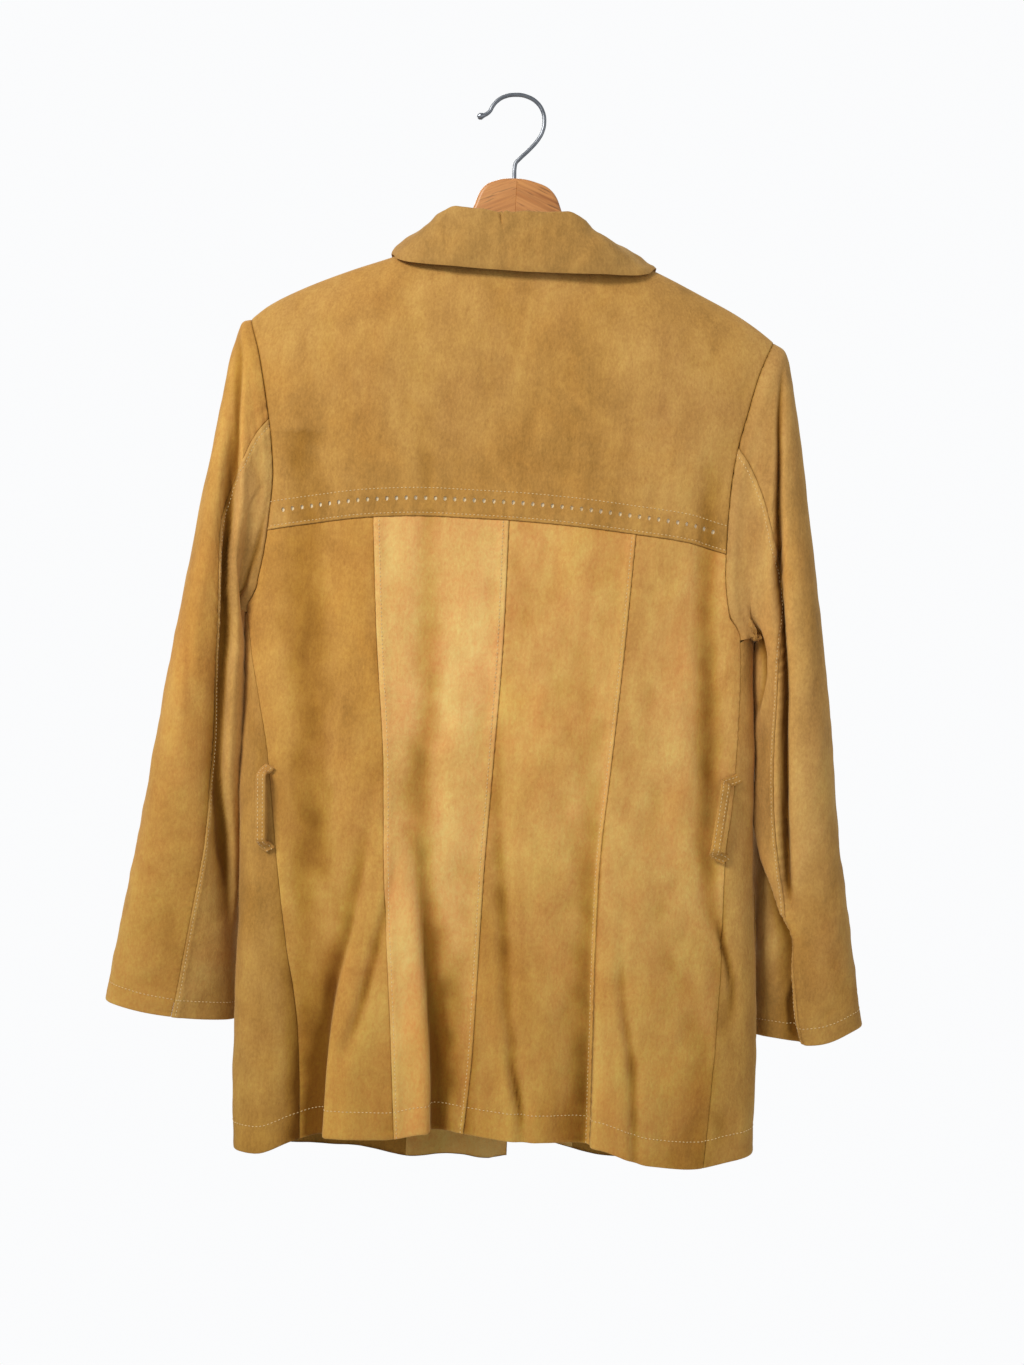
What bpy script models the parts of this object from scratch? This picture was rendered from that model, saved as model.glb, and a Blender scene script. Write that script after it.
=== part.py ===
"""A hip-length suede jacket hanging on a wooden hanger, as the pieces a maker would cut.

Metres. The origin is the point inside the hook where it bears on its nail. +Z is up, the back of
the jacket faces +Y, the fronts face -Y and the wearer's left is +X.

The body is one closed ring of cloth. A place on it is (u, z): u runs from 0 at the centre back
through +0.5 at the wearer's left side to +1 at the centre front, and the same with a minus sign
round the right side. z is the height before the folds move it.
"""

import bpy
import numpy as np

WALL = 0.0015  # one layer of suede
HEM_WALL = 0.0026  # where the hem is turned up and lies double
COLLAR_WALL = 0.0026  # two layers of suede
SEAM = 0.0003  # between two pieces that are sewn together
ARMHOLE_SEAM = 0.0005  # round the armholes, where the cloth turns a corner
STEP = 0.0004  # for slopes taken by difference
SHOULDER_DROP = 0.110  # how far below the shoulder line the cloth reaches its full depth
COLUMN = 0.0095  # width of one facet of the back

# The body at rest: height, wearer's left edge, right edge, depth of the back and of the fronts.
BODY = (
    ("z", "left", "right", "back", "front"),
    (-0.93, 0.188, -0.254, 0.047, 0.050),
    (-0.80, 0.193, -0.248, 0.047, 0.050),
    (-0.70, 0.195, -0.241, 0.046, 0.049),
    (-0.57, 0.200, -0.229, 0.045, 0.047),
    (-0.45, 0.204, -0.216, 0.046, 0.046),
    (-0.34, 0.212, -0.226, 0.048, 0.045),
    (-0.25, 0.235, -0.252, 0.047, 0.045),
    (-0.19, 0.258, -0.275, 0.046, 0.045),
    (-0.08, 0.268, -0.286, 0.046, 0.045),
)
# The line along the top of the shoulders, carried on over the neck.
SHOULDER = (
    ("x", "z"),
    (-0.300, -0.252),
    (-0.260, -0.224),
    (-0.232, -0.1975),
    (-0.202, -0.1775),
    (-0.167, -0.1605),
    (-0.128, -0.1430),
    (-0.095, -0.1310),
    (-0.070, -0.1235),
    (-0.015, -0.1130),
    (0.040, -0.1225),
    (0.069, -0.1320),
    (0.097, -0.1435),
    (0.132, -0.1570),
    (0.174, -0.1760),
    (0.199, -0.1905),
    (0.2135, -0.203),
    (0.240, -0.228),
    (0.280, -0.258),
)
NECK_MIDDLE = -0.013
# The neckline: distance from its middle, and how far it lies below the shoulder line at the back
# and at the front.
NECK = (
    ("across", "back", "front"),
    (0.000, 0.0350, 0.1200),
    (0.025, 0.0312, 0.1130),
    (0.045, 0.0235, 0.0945),
    (0.062, 0.0145, 0.0630),
    (0.074, 0.0058, 0.0280),
    (0.082, 0.0000, 0.0000),
)
YOKE_SEAM = (
    ("x", "z"),
    (-0.240, -0.392),
    (-0.194, -0.381),
    (-0.167, -0.375),
    (-0.122, -0.371),
    (-0.068, -0.3672),
    (-0.014, -0.3655),
    (0.042, -0.3655),
    (0.097, -0.369),
    (0.138, -0.375),
    (0.182, -0.383),
    (0.230, -0.395),
)
# Hem of the back and of the fronts, by x.
HEM_BACK = (
    ("x", "z"),
    (-0.255, -0.884),
    (-0.230, -0.889),
    (-0.200, -0.895),
    (-0.160, -0.892),
    (-0.112, -0.879),
    (-0.060, -0.879),
    (-0.020, -0.877),
    (0.020, -0.875),
    (0.060, -0.883),
    (0.100, -0.884),
    (0.140, -0.895),
    (0.170, -0.906),
    (0.190, -0.906),
)
HEM_FRONT = (
    ("x", "z"),
    (-0.255, -0.884),
    (-0.230, -0.893),
    (-0.180, -0.904),
    (-0.110, -0.911),
    (-0.050, -0.908),
    (-0.010, -0.909),
    (0.040, -0.921),
    (0.090, -0.912),
    (0.150, -0.909),
    (0.190, -0.906),
)
# The three long seams of the back and the two side seams: height and x on the back.
BACK_SEAMS = (
    ("z", "left", "centre", "right"),
    (-0.360, 0.0975, -0.0160, -0.1220),
    (-0.460, 0.0890, -0.0170, -0.1180),
    (-0.570, 0.0770, -0.0145, -0.1120),
    (-0.660, 0.0710, -0.0120, -0.1070),
    (-0.800, 0.0570, -0.0110, -0.1090),
    (-0.920, 0.0465, -0.0040, -0.1120),
)
SIDE_SEAMS = (
    ("z", "left", "right"),
    (-0.450, 0.2005, -0.2145),
    (-0.490, 0.1930, -0.2170),
    (-0.570, 0.1760, -0.2175),
    (-0.640, 0.1650, -0.2125),
    (-0.720, 0.1530, -0.2150),
    (-0.800, 0.1390, -0.2130),
    (-0.930, 0.1320, -0.2070),
)
# The armhole seen on the back and on the front: height and x. It ends under the arm.
ARMHOLES = (
    ("z", "left_back", "left_front", "right_back", "right_front"),
    (-0.190, 0.2165, 0.2165, -0.2360, -0.2360),
    (-0.203, 0.2130, 0.2130, -0.2290, -0.2290),
    (-0.234, 0.2020, 0.1990, -0.2170, -0.2140),
    (-0.267, 0.1940, 0.1890, -0.2090, -0.2030),
    (-0.292, 0.1890, 0.1840, -0.2035, -0.1970),
    (-0.316, 0.1850, 0.1810, -0.2000, -0.1940),
    (-0.341, 0.1830, 0.1800, -0.1985, -0.1930),
    (-0.367, 0.1840, 0.1815, -0.1980, -0.1940),
    (-0.396, 0.1870, 0.1860, -0.1985, -0.1970),
    (-0.418, 0.1905, 0.1920, -0.2010, -0.2020),
    (-0.436, 0.1935, 0.1980, -0.2050, -0.2085),
    (-0.455, 0.2040, 0.2040, -0.2165, -0.2165),
)
ARMPIT = -0.455
# The two front edges as x on the front: the wearer's right laps over the left.
FRONT_EDGES = (
    ("z", "left", "right"),
    (-0.230, -0.0310, 0.0050),
    (-0.500, -0.0370, -0.0020),
    (-0.930, -0.0455, -0.0105),
)
LAP = 0.0040  # how far the right front stands off to clear the left one and its own facing
FACING_WALL = 0.0012

# Lengthwise folds: the side of the line that stands proud (+1 towards the wearer's left, -1
# towards the right, 0 for a plain valley or ridge), half width of the bend, height on the proud
# side, depth on the other, how far each carries, and how far the bend tucks under itself.
# Each line is given below as height and x.
FOLD_COLUMNS = ("proud", "bend", "height", "depth", "height_reach", "depth_reach", "tuck")
FOLDS = {
    "lobe_left_edge": (-1, 0.0070, 0.0060, 0.0170, 0.040, 0.045, 0.95),
    "lobe_right_edge": (1, 0.0065, 0.0065, 0.0165, 0.040, 0.050, 1.15),
    "lap_edge": (-1, 0.0065, 0.0080, 0.0140, 0.055, 0.050, 1.15),
    "left_valley": (0, 0.0160, 0.0000, 0.0055, 0.016, 0.016, 0.0),
    "middle_valley": (0, 0.0095, 0.0000, 0.0045, 0.010, 0.010, 0.0),
    "centre_crease": (0, 0.0080, 0.0000, 0.0030, 0.008, 0.008, 0.0),
    "right_crease": (0, 0.0060, 0.0000, 0.0028, 0.006, 0.006, 0.0),
    "slant_crease": (0, 0.0070, 0.0000, 0.0030, 0.007, 0.007, 0.0),
    "side_valley": (0, 0.0110, 0.0000, 0.0050, 0.011, 0.011, 0.0),
    "shade_left": (0, 0.0080, 0.0000, 0.0028, 0.008, 0.008, 0.0),
    "shade_middle": (0, 0.0070, 0.0000, 0.0022, 0.007, 0.007, 0.0),
}
# The line of each fold: height, x, and the share of its full size there.
FOLD_LINES = {
    "lobe_left_edge": (
        (-0.56, 0.074, 0.0), (-0.62, 0.082, 0.10), (-0.71, 0.0945, 0.30), (-0.78, 0.107, 0.62),
        (-0.83, 0.110, 0.85), (-0.93, 0.1105, 1.0),
    ),
    "lobe_right_edge": (
        (-0.62, 0.045, 0.0), (-0.665, 0.043, 0.14), (-0.722, 0.036, 0.38), (-0.773, 0.029, 0.62),
        (-0.83, 0.023, 0.9), (-0.93, 0.018, 1.0),
    ),
    "lap_edge": (
        (-0.52, -0.113, 0.0), (-0.62, -0.1075, 0.22), (-0.70, -0.107, 0.45), (-0.79, -0.110, 0.75),
        (-0.87, -0.112, 1.0), (-0.93, -0.112, 1.0),
    ),
    "left_valley": (
        (-0.30, 0.158, 0.2), (-0.40, 0.150, 0.6), (-0.52, 0.143, 0.8), (-0.65, 0.134, 1.0),
        (-0.74, 0.137, 0.9), (-0.93, 0.134, 0.6),
    ),
    "middle_valley": (
        (-0.38, 0.050, 0.2), (-0.44, 0.047, 0.6), (-0.52, 0.037, 0.75), (-0.59, 0.046, 1.0),
        (-0.66, 0.041, 0.8), (-0.76, 0.026, 0.2), (-0.93, 0.010, 0.0),
    ),
    "centre_crease": (
        (-0.55, -0.020, 0.0), (-0.60, -0.021, 0.5), (-0.70, -0.031, 1.0), (-0.77, -0.038, 0.9),
        (-0.83, -0.050, 1.0), (-0.93, -0.062, 0.9),
    ),
    "right_crease": (
        (-0.70, -0.128, 0.0), (-0.753, -0.132, 0.8), (-0.816, -0.144, 1.0), (-0.93, -0.152, 0.5),
    ),
    "slant_crease": (
        (-0.64, 0.060, 0.0), (-0.70, 0.069, 0.9), (-0.783, 0.086, 1.0), (-0.83, 0.098, 0.3),
        (-0.93, 0.100, 0.0),
    ),
    "side_valley": (
        (-0.29, -0.180, 0.0), (-0.34, -0.182, 0.5), (-0.415, -0.184, 0.9), (-0.51, -0.191, 1.0),
        (-0.61, -0.196, 0.9), (-0.67, -0.203, 0.8), (-0.72, -0.213, 0.7), (-0.80, -0.226, 0.0),
    ),
    "shade_left": (
        (-0.27, 0.163, 0.0), (-0.315, 0.162, 1.0), (-0.35, 0.161, 0.2), (-0.38, 0.160, 0.0),
    ),
    "shade_middle": (
        (-0.28, 0.056, 0.0), (-0.33, 0.055, 1.0), (-0.37, 0.052, 0.8), (-0.42, 0.050, 0.0),
    ),
}

# Slow waves at the hem of the fronts: x, half width and how far out.
WAVES = (
    ("x", "reach", "out"),
    (0.045, 0.035, 0.006),
    (-0.020, 0.030, -0.005),
)

# The two sleeves, by share of the way from the shoulder (0) to the cuff (1): the outer line, the
# inner line, and how far each ring reaches to the back and to the front.
SLEEVE_COLUMNS = ("way", "out_x", "out_y", "out_z", "in_x", "in_y", "in_z", "back", "front")
SLEEVES = {
    "left": (
        (0.00, 0.2135, 0.000, -0.2030, 0.2040, 0.000, -0.455, 0.036, -0.036),
        (0.03, 0.2215, 0.000, -0.2080, 0.2110, -0.002, -0.4515, 0.038, -0.038),
        (0.07, 0.2275, 0.000, -0.2300, 0.2165, -0.006, -0.457, 0.040, -0.041),
        (0.13, 0.2330, -0.001, -0.2750, 0.2180, -0.014, -0.466, 0.043, -0.045),
        (0.20, 0.2415, -0.002, -0.3370, 0.2140, -0.022, -0.478, 0.0462, -0.050),
        (0.30, 0.2535, -0.004, -0.4200, 0.2060, -0.029, -0.512, 0.0442, -0.053),
        (0.45, 0.2680, -0.006, -0.5180, 0.2010, -0.031, -0.575, 0.0372, -0.053),
        (0.60, 0.2800, -0.008, -0.6120, 0.1995, -0.031, -0.642, 0.0312, -0.051),
        (0.80, 0.2930, -0.010, -0.7020, 0.1975, -0.031, -0.724, 0.0240, -0.046),
        (1.00, 0.3060, -0.010, -0.7890, 0.1950, -0.031, -0.803, 0.013, -0.042),
    ),
    "right": (
        (0.00, -0.2290, 0.000, -0.1975, -0.2165, 0.000, -0.455, 0.036, -0.036),
        (0.03, -0.2400, 0.000, -0.2070, -0.2240, -0.002, -0.4515, 0.038, -0.038),
        (0.07, -0.2475, 0.000, -0.2300, -0.2300, -0.006, -0.454, 0.040, -0.041),
        (0.13, -0.2570, -0.001, -0.2750, -0.2325, -0.014, -0.460, 0.043, -0.045),
        (0.20, -0.2680, -0.002, -0.3370, -0.2325, -0.022, -0.478, 0.045, -0.049),
        (0.30, -0.2820, -0.004, -0.4200, -0.2320, -0.028, -0.512, 0.044, -0.052),
        (0.45, -0.2975, -0.006, -0.5180, -0.2340, -0.030, -0.575, 0.038, -0.052),
        (0.60, -0.3110, -0.008, -0.6120, -0.2430, -0.030, -0.640, 0.031, -0.050),
        (0.80, -0.3270, -0.010, -0.6950, -0.2510, -0.030, -0.716, 0.024, -0.045),
        (1.00, -0.3420, -0.010, -0.7740, -0.2550, -0.030, -0.790, 0.014, -0.042),
    ),
}
ELBOW_SEAM = -0.292  # where the seam behind the arm leaves the armhole
INNER_SEAM = -0.372  # and the one in front
# The seam behind the arm runs further round towards the body than the armhole's own points do:
# by this many degrees, by share of the way down.
ELBOW_SHIFT = (
    ("way", "shift"),
    (0.00, 0.0),
    (0.04, 6.0),
    (0.15, 15.0),
    (0.30, 30.0),
    (0.48, 40.0),
    (0.62, 36.0),
    (0.75, 30.0),
    (1.00, 20.0),
)
# Folds down the sleeves: half width and depth, then each line as share of the way down, turn round
# the arm in degrees (0 outside, 90 at the back, 180 under the arm) and the share of the full depth.
SLEEVE_FOLDS = {
    ("left", 0.0120, 0.0100): (
        (0.10, 88.0, 0.0), (0.20, 91.0, 0.6), (0.40, 101.0, 1.0), (0.57, 114.0, 1.0),
        (0.74, 142.0, 0.6), (0.80, 150.0, 0.0),
    ),
    ("right", 0.0120, 0.0095): (
        (0.08, 84.0, 0.0), (0.20, 86.0, 0.7), (0.40, 88.0, 1.0), (0.65, 90.0, 1.0),
        (0.85, 92.0, 0.7), (1.00, 92.0, 0.7),
    ),
    ("right", 0.0110, 0.0060): (
        (0.14, 124.0, 0.0), (0.22, 130.0, 1.0), (0.32, 142.0, 1.0), (0.42, 152.0, 0.0),
    ),
}

# The collar from the centre back (0) to its front end (1): the line it folds over at and its edge.
FOLD_MIDDLE, EDGE_MIDDLE = -0.003, -0.0155
COLLAR = (
    ("way", "fold_x", "fold_y", "fold_z", "edge_x", "edge_y", "edge_z"),
    (0.00, 0.0000, 0.0400, -0.1095, 0.0000, 0.0455, -0.1590),
    (0.12, 0.0230, 0.0390, -0.1070, 0.0380, 0.0445, -0.1580),
    (0.25, 0.0450, 0.0330, -0.1050, 0.0720, 0.0400, -0.1560),
    (0.35, 0.0570, 0.0240, -0.1095, 0.0960, 0.0310, -0.1530),
    (0.43, 0.0640, 0.0130, -0.1150, 0.1080, 0.0180, -0.1475),
    (0.50, 0.0700, 0.0000, -0.1190, 0.1130, 0.0000, -0.1410),
    (0.60, 0.0700, -0.0170, -0.1280, 0.1120, -0.0210, -0.1500),
    (0.70, 0.0610, -0.0330, -0.1465, 0.1060, -0.0400, -0.1700),
    (0.80, 0.0460, -0.0440, -0.1720, 0.0980, -0.0500, -0.1930),
    (0.90, 0.0270, -0.0510, -0.1980, 0.0890, -0.0570, -0.2140),
    (1.00, 0.0090, -0.0550, -0.2130, 0.0800, -0.0610, -0.2360),
)
COLLAR_ROLL = 0.0038

# What lies on the cloth rests this far off the smooth surface, to clear its flat facets.
BELT_LOOPS = (
    ("name", "top_x", "top_z", "end_x", "end_z", "rest"),
    ("belt_loop_left", 0.1765, -0.5800, 0.1720, -0.6500, 0.0007),
    ("belt_loop_right", -0.2110, -0.5680, -0.2040, -0.6370, 0.0015),
)
LOOP_WIDTH, LOOP_WALL, LOOP_STAND = 0.0085, 0.0022, 0.0085
POCKETS = (
    ("name", "side_u", "width", "top", "bottom", "rest"),
    ("pocket_left", 0.550, 0.145, -0.668, -0.815, 0.0007),
    ("pocket_right", -0.516, 0.145, -0.668, -0.815, 0.0015),
)
POCKET_BULGE = 0.0026
BUTTONS = (-0.262, -0.370, -0.478, -0.586, -0.694)
BUTTON_RADIUS, BUTTON_WALL = 0.0105, 0.0034

WOOD_HALF = 0.0065
# The wooden hanger seen flat: x and z along its top from one end to the other, then its underside.
WOOD_TOP = (
    (-0.214, -0.1960), (-0.200, -0.1835), (-0.165, -0.1660), (-0.128, -0.1500), (-0.095, -0.1395),
    (-0.078, -0.1345), (-0.060, -0.1240), (-0.047, -0.1000), (-0.036, -0.0795), (-0.021, -0.0725),
    (-0.001, -0.0705), (0.012, -0.0730), (0.022, -0.0785), (0.030, -0.0960), (0.041, -0.1220),
    (0.054, -0.1350), (0.069, -0.1405), (0.097, -0.1505), (0.132, -0.1625), (0.170, -0.1800),
    (0.188, -0.1900), (0.198, -0.1985),
)
WOOD_UNDER = (
    (0.197, -0.2080), (0.184, -0.2095), (0.140, -0.1930), (0.090, -0.1750), (0.040, -0.1640),
    (-0.010, -0.1610), (-0.060, -0.1650), (-0.110, -0.1760), (-0.160, -0.1930), (-0.200, -0.2070),
    (-0.213, -0.2050),
)
# The hook: x and z along the middle of its wire.
WIRE = 0.00175
HOOK = (
    (-0.0010, -0.0700), (-0.0010, -0.0560), (-0.0050, -0.0470), (-0.0140, -0.0390),
    (-0.0215, -0.0300), (-0.0255, -0.0200), (-0.0245, -0.0100), (-0.0190, -0.0030),
    (-0.0100, 0.0010), (0.0000, 0.00175), (0.0095, 0.0000), (0.0165, -0.0055),
    (0.0205, -0.0125), (0.0260, -0.0165),
)
# The ball at its end: middle and radius, then steps along the wire in radii, with how much the
# wire swells at each.
BALL = (0.0290, -0.0180, 0.0030)
BALL_STEPS = ((-0.62, 0.24, 1.3), (0.0, 0.0, 1.72), (0.62, -0.24, 1.35), (0.92, -0.36, 0.6))

SUEDE = ("Suede", (0.46, 0.27, 0.11, 1.0), 0.95, 0.0)
WOOD = ("Beech", (0.62, 0.36, 0.16, 1.0), 0.45, 0.0)
WIRE_METAL = ("Bright wire", (0.72, 0.72, 0.72, 1.0), 0.2, 1.0)
HORN = ("Horn", (0.16, 0.09, 0.05, 1.0), 0.4, 0.0)


def records(table):
    """The rows of a table, each as a dictionary by column name."""
    return [dict(zip(table[0], row)) for row in table[1:]]


def column(table, name, at):
    """A named column of a table read at places along its first column, as a smooth line."""
    names, rows = table[0], np.array(table[1:], float)
    rows = rows[np.argsort(rows[:, 0])]
    return smooth_line(rows[:, 0], rows[:, names.index(name)], at)


def smooth_line(x, y, at):
    """The curve through (x, y) that rises and falls only where they do."""
    step = np.diff(x)
    rise = np.diff(y) / step
    slope = np.zeros(len(x))
    slope[0], slope[-1] = rise[0], rise[-1]
    same = rise[:-1] * rise[1:] > 0
    first, second = 2 * step[1:] + step[:-1], step[1:] + 2 * step[:-1]
    both = np.where(same, rise[:-1] * rise[1:], 1.0)
    mixed = first * rise[1:] + second * rise[:-1]
    slope[1:-1] = np.where(same, (first + second) * both / np.where(same, mixed, 1.0), 0.0)
    at = np.clip(at, x[0], x[-1])
    k = np.clip(np.searchsorted(x, at, side="right") - 1, 0, len(x) - 2)
    t = (at - x[k]) / step[k]
    return (
        (1 + 2 * t) * (1 - t) ** 2 * y[k]
        + t * (1 - t) ** 2 * step[k] * slope[k]
        + t * t * (3 - 2 * t) * y[k + 1]
        - t * t * (1 - t) * step[k] * slope[k + 1]
    )


def ease(t):
    t = np.clip(t, 0.0, 1.0)
    return t * t * (3 - 2 * t)


def unit(v):
    return v / np.maximum(np.linalg.norm(v, axis=-1, keepdims=True), 1e-12)


def ring_shape():
    """Half of the body's level section, from centre back to centre front by the way round it."""
    turn = np.linspace(0.0, np.pi, 4001)
    power = np.where(turn < np.pi / 2, 2 / 3.0, 2 / 2.3)
    x = np.abs(np.sin(turn)) ** power
    y = np.sign(np.cos(turn)) * np.abs(np.cos(turn)) ** power
    x[0] = x[-1] = 0.0
    length = np.hypot(np.diff(0.214 * x), np.diff(0.046 * y))
    way = np.concatenate(([0.0], np.cumsum(length)))
    even = np.linspace(0.0, 1.0, 3001)
    x = np.interp(even, way / way[-1], x)
    y = np.interp(even, way / way[-1], y)
    half = np.argmax(x)
    return even, x, y, half, way[-1] / 0.214


WAY, ACROSS, DEEP, SIDE, ROUND = ring_shape()


def middle(z):
    return (column(BODY, "left", z) + column(BODY, "right", z)) / 2


def half_width(z):
    return (column(BODY, "left", z) - column(BODY, "right", z)) / 2


def back_u(x, z):
    """u of the place on the back that stands at x."""
    share = (x - middle(z)) / half_width(z)
    return np.sign(share) * np.interp(np.abs(share), ACROSS[: SIDE + 1], WAY[: SIDE + 1])


def front_u(x, z, side):
    """u of the place on the front that stands at x, counted round the given side."""
    share = side * (x - middle(z)) / half_width(z)
    way = np.interp(np.abs(share), ACROSS[SIDE:][::-1], WAY[SIDE:][::-1])
    return side * np.where(share > 0, way, 2 - way)


def resting(u, z):
    """The body with no folds."""
    u = (np.asarray(u, float) + 1) % 2 - 1
    across = np.interp(np.abs(u), WAY, ACROSS)
    deep = np.interp(np.abs(u), WAY, DEEP)
    x = middle(z) + np.sign(u) * half_width(z) * across
    below = column(SHOULDER, "z", x) - z
    full = np.sqrt(1 - (1 - np.clip(below / SHOULDER_DROP, 0, 1)) ** 2)
    depth = np.where(deep > 0, column(BODY, "back", z), column(BODY, "front", z))
    y = deep * depth * full + np.sign(deep) * SEAM / 2 * np.exp(-np.abs(below) / 0.01)
    return np.stack([x, y, z], axis=-1)


def fold_moves(u, z):
    """How far the folds move each place outwards, and round the body."""
    out, along = np.zeros(np.shape(u)), np.zeros(np.shape(u))
    length = ROUND * half_width(z)
    for name, row in FOLDS.items():
        fold = dict(zip(FOLD_COLUMNS, row))
        line = (("z", "x", "share"),) + FOLD_LINES[name]
        share = column(line, "share", z) * (z < FOLD_LINES[name][0][0])
        off = (u - back_u(column(line, "x", z), z)) * length
        bend = fold["bend"]
        if fold["proud"] == 0:
            out -= share * fold["depth"] * np.exp(-((off / bend) ** 2))
            continue
        off = off * fold["proud"]
        turn = np.tanh(off / bend)
        level = (fold["height"] + fold["depth"]) / 2 * turn + (fold["height"] - fold["depth"]) / 2
        reach = fold["depth_reach"] + (fold["height_reach"] - fold["depth_reach"]) * (turn + 1) / 2
        out += share * level * np.exp(-((off / reach) ** 2))
        tuck = -fold["tuck"] * off * np.exp(-((off / bend) ** 2) / 2)
        along += share * fold["proud"] * tuck
    return out, along / length


def slopes(place, u, z):
    """The place's two directions, by difference, without crossing the shoulder line."""
    du = STEP / 0.45
    by_u = place(u + du, z) - place(u - du, z)
    by_z = place(u, z + STEP / 8) - place(u, z - STEP)
    return by_u, by_z


def outward(place, u, z):
    """Which way the cloth faces; on the shoulder line itself, straight over it."""
    by_u, by_z = slopes(place, u, z)
    normal = np.cross(by_z, by_u)
    at_top = column(SHOULDER, "z", resting(u, z)[..., 0]) - z < STEP
    normal[..., 1] *= ~at_top
    return unit(normal)


def front_wave(u, z):
    """The fronts are plain but for slow waves that start low down and grow towards the hem."""
    x = resting(u, z)[..., 0]
    waves = (wave["out"] * np.exp(-(((x - wave["x"]) / wave["reach"]) ** 2)) for wave in records(WAVES))
    return ease((-0.62 - z) / 0.25) * sum(waves)


def body(u, z, lap=0.0):
    """The outer face of the body at (u, z), moved out by lap near the front edges."""
    u, z = np.broadcast_arrays(np.asarray(u, float), np.asarray(z, float))
    wrapped = (u + 1) % 2 - 1
    behind = ease((0.53 - np.abs(wrapped)) / 0.06)
    out, along = fold_moves(wrapped, z)
    ahead = ease((np.abs(u) - 0.60) / 0.12)
    moved = u + along * behind
    base = resting(moved, z)
    normal = outward(resting, moved, z)
    lift = out * behind + front_wave(u, z) * ahead
    if lap:
        below = column(SHOULDER, "z", base[..., 0]) - z
        lift = lift + lap * ease((np.abs(u) - 0.72) / 0.14) * ease(below / 0.08)
    return base + normal * lift[..., None]


def top_of(x, side):
    """Height where the cloth ends at the top: the shoulder line, or the neckline."""
    off = np.abs(x - NECK_MIDDLE)
    ridge = column(SHOULDER, "z", x)
    return ridge - column(NECK, side, off)


def edge_u(z, seam):
    """u along one of the named lines down the body."""
    if seam in ("left", "centre", "right"):
        return back_u(column(BACK_SEAMS, seam, z), z)
    side = 1 if seam.startswith("left") else -1
    name = seam.split("_")[0]
    if seam.endswith("side"):
        return back_u(column(SIDE_SEAMS, name, z), z)
    if seam.endswith("edge"):
        return front_u(column(FRONT_EDGES, name, z), z, side)
    return (back_u if seam.endswith("back") else lambda x, h: front_u(x, h, side))(
        column(ARMHOLES, seam, z), z
    )


def outer_edge(z, name, face):
    """The side seam up to the armpit, and the armhole above it."""
    side = edge_u(z, name + "_side")
    arm = edge_u(z, f"{name}_{face}")
    # Just above the armpit the armhole comes round from the side seam.
    near = ease((z - ARMPIT) / 0.022)
    return np.where(z <= ARMPIT, side, side + (arm - side) * near)


def level_of(u, rows, top):
    """Height of each row at u: from the hem to the armpit, then on to the top."""
    low, high = rows
    x = resting(u, np.full(np.shape(u), -0.88))[..., 0]
    front = ease((np.abs(u) - 0.44) / 0.08)
    hem = column(HEM_BACK, "z", x) * (1 - front) + column(HEM_FRONT, "z", x) * front
    lower = hem + (ARMPIT - hem) * low
    return lower + (top - ARMPIT) * high


def panel_grid(inner, outer, top, rows, columns, gap):
    """(u, z) over one panel: columns between two lines, rows from the hem to its top."""
    low, high = (np.asarray(r, float)[:, None] for r in rows)
    across = np.asarray(columns, float)[None, :]
    z = ARMPIT + 0 * (low + across)
    u = inner(z) + (outer(z) - inner(z)) * across
    for _ in range(40):
        z = 0.5 * z + 0.5 * level_of(u, (low, high), top(u, z))
        u = inner(z) + (outer(z) - inner(z)) * across
    return trimmed(u, z, gap)


def trimmed(u, z, gap):
    """Moves the outermost lines in by half a seam where gap says so: left, right, bottom, top."""
    u, z = u.copy(), z.copy()
    by_u, by_z = slopes(body, u, z)
    per_u = np.linalg.norm(by_u, axis=-1) / (2 * STEP / 0.45)
    per_z = np.linalg.norm(by_z, axis=-1) / (STEP * 1.125)
    way = np.sign(u[0, -1] - u[0, 0])
    if gap[0]:
        u[:, 0] += way * SEAM / 2 / per_u[:, 0]
    if gap[1]:
        u[:, -1] -= way * SEAM / 2 / per_u[:, -1]
    if gap[2]:
        z[0] += SEAM / 2 / per_z[0]
    if gap[3]:
        z[-1] -= SEAM / 2 / np.minimum(per_z[-1], 2.0)
    return u, z


def wall(name, outer, inner, material, closed=False):
    """A closed body between two grids of points; closed says that its columns go right round."""
    rows, cols = outer.shape[:2]
    count = rows * cols
    index = np.arange(count).reshape(rows, cols)
    if closed:
        index = np.concatenate([index, index[:, :1]], axis=1)
    a, b, c, d = index[:-1, :-1], index[:-1, 1:], index[1:, 1:], index[1:, :-1]
    outside = np.stack([a, b, c, d], axis=-1).reshape(-1, 4)
    inside = outside[:, [0, 3, 2, 1]] + count
    rims = [index[0], index[-1][::-1]]
    if not closed:
        rims += [index[:, -1], index[:, 0][::-1]]
    faces = np.concatenate([outside, inside]).tolist()
    for rim, back in zip(rims, (False, True, False, True)):
        # Both sides of a seam are split along the same diagonal, so that their faces run parallel.
        for a, b in zip(rim[:-1], rim[1:]):
            if back:
                faces += [[b, a, b + count], [a, a + count, b + count]]
            else:
                faces += [[b, a, a + count], [b, a + count, b + count]]
    points = np.concatenate([outer.reshape(-1, 3), inner.reshape(-1, 3)])
    mesh = bpy.data.meshes.new(name)
    mesh.from_pydata(points.tolist(), [], faces)
    mesh.validate()
    # Turn the faces outwards, whichever way the grid was laid.
    volume = sum(
        points[face[0]] @ np.cross(points[face[k]], points[face[k + 1]])
        for face in faces
        for k in range(1, len(face) - 1)
    )
    if volume < 0:
        mesh.flip_normals()
    return place_object(name, mesh, material)


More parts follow.
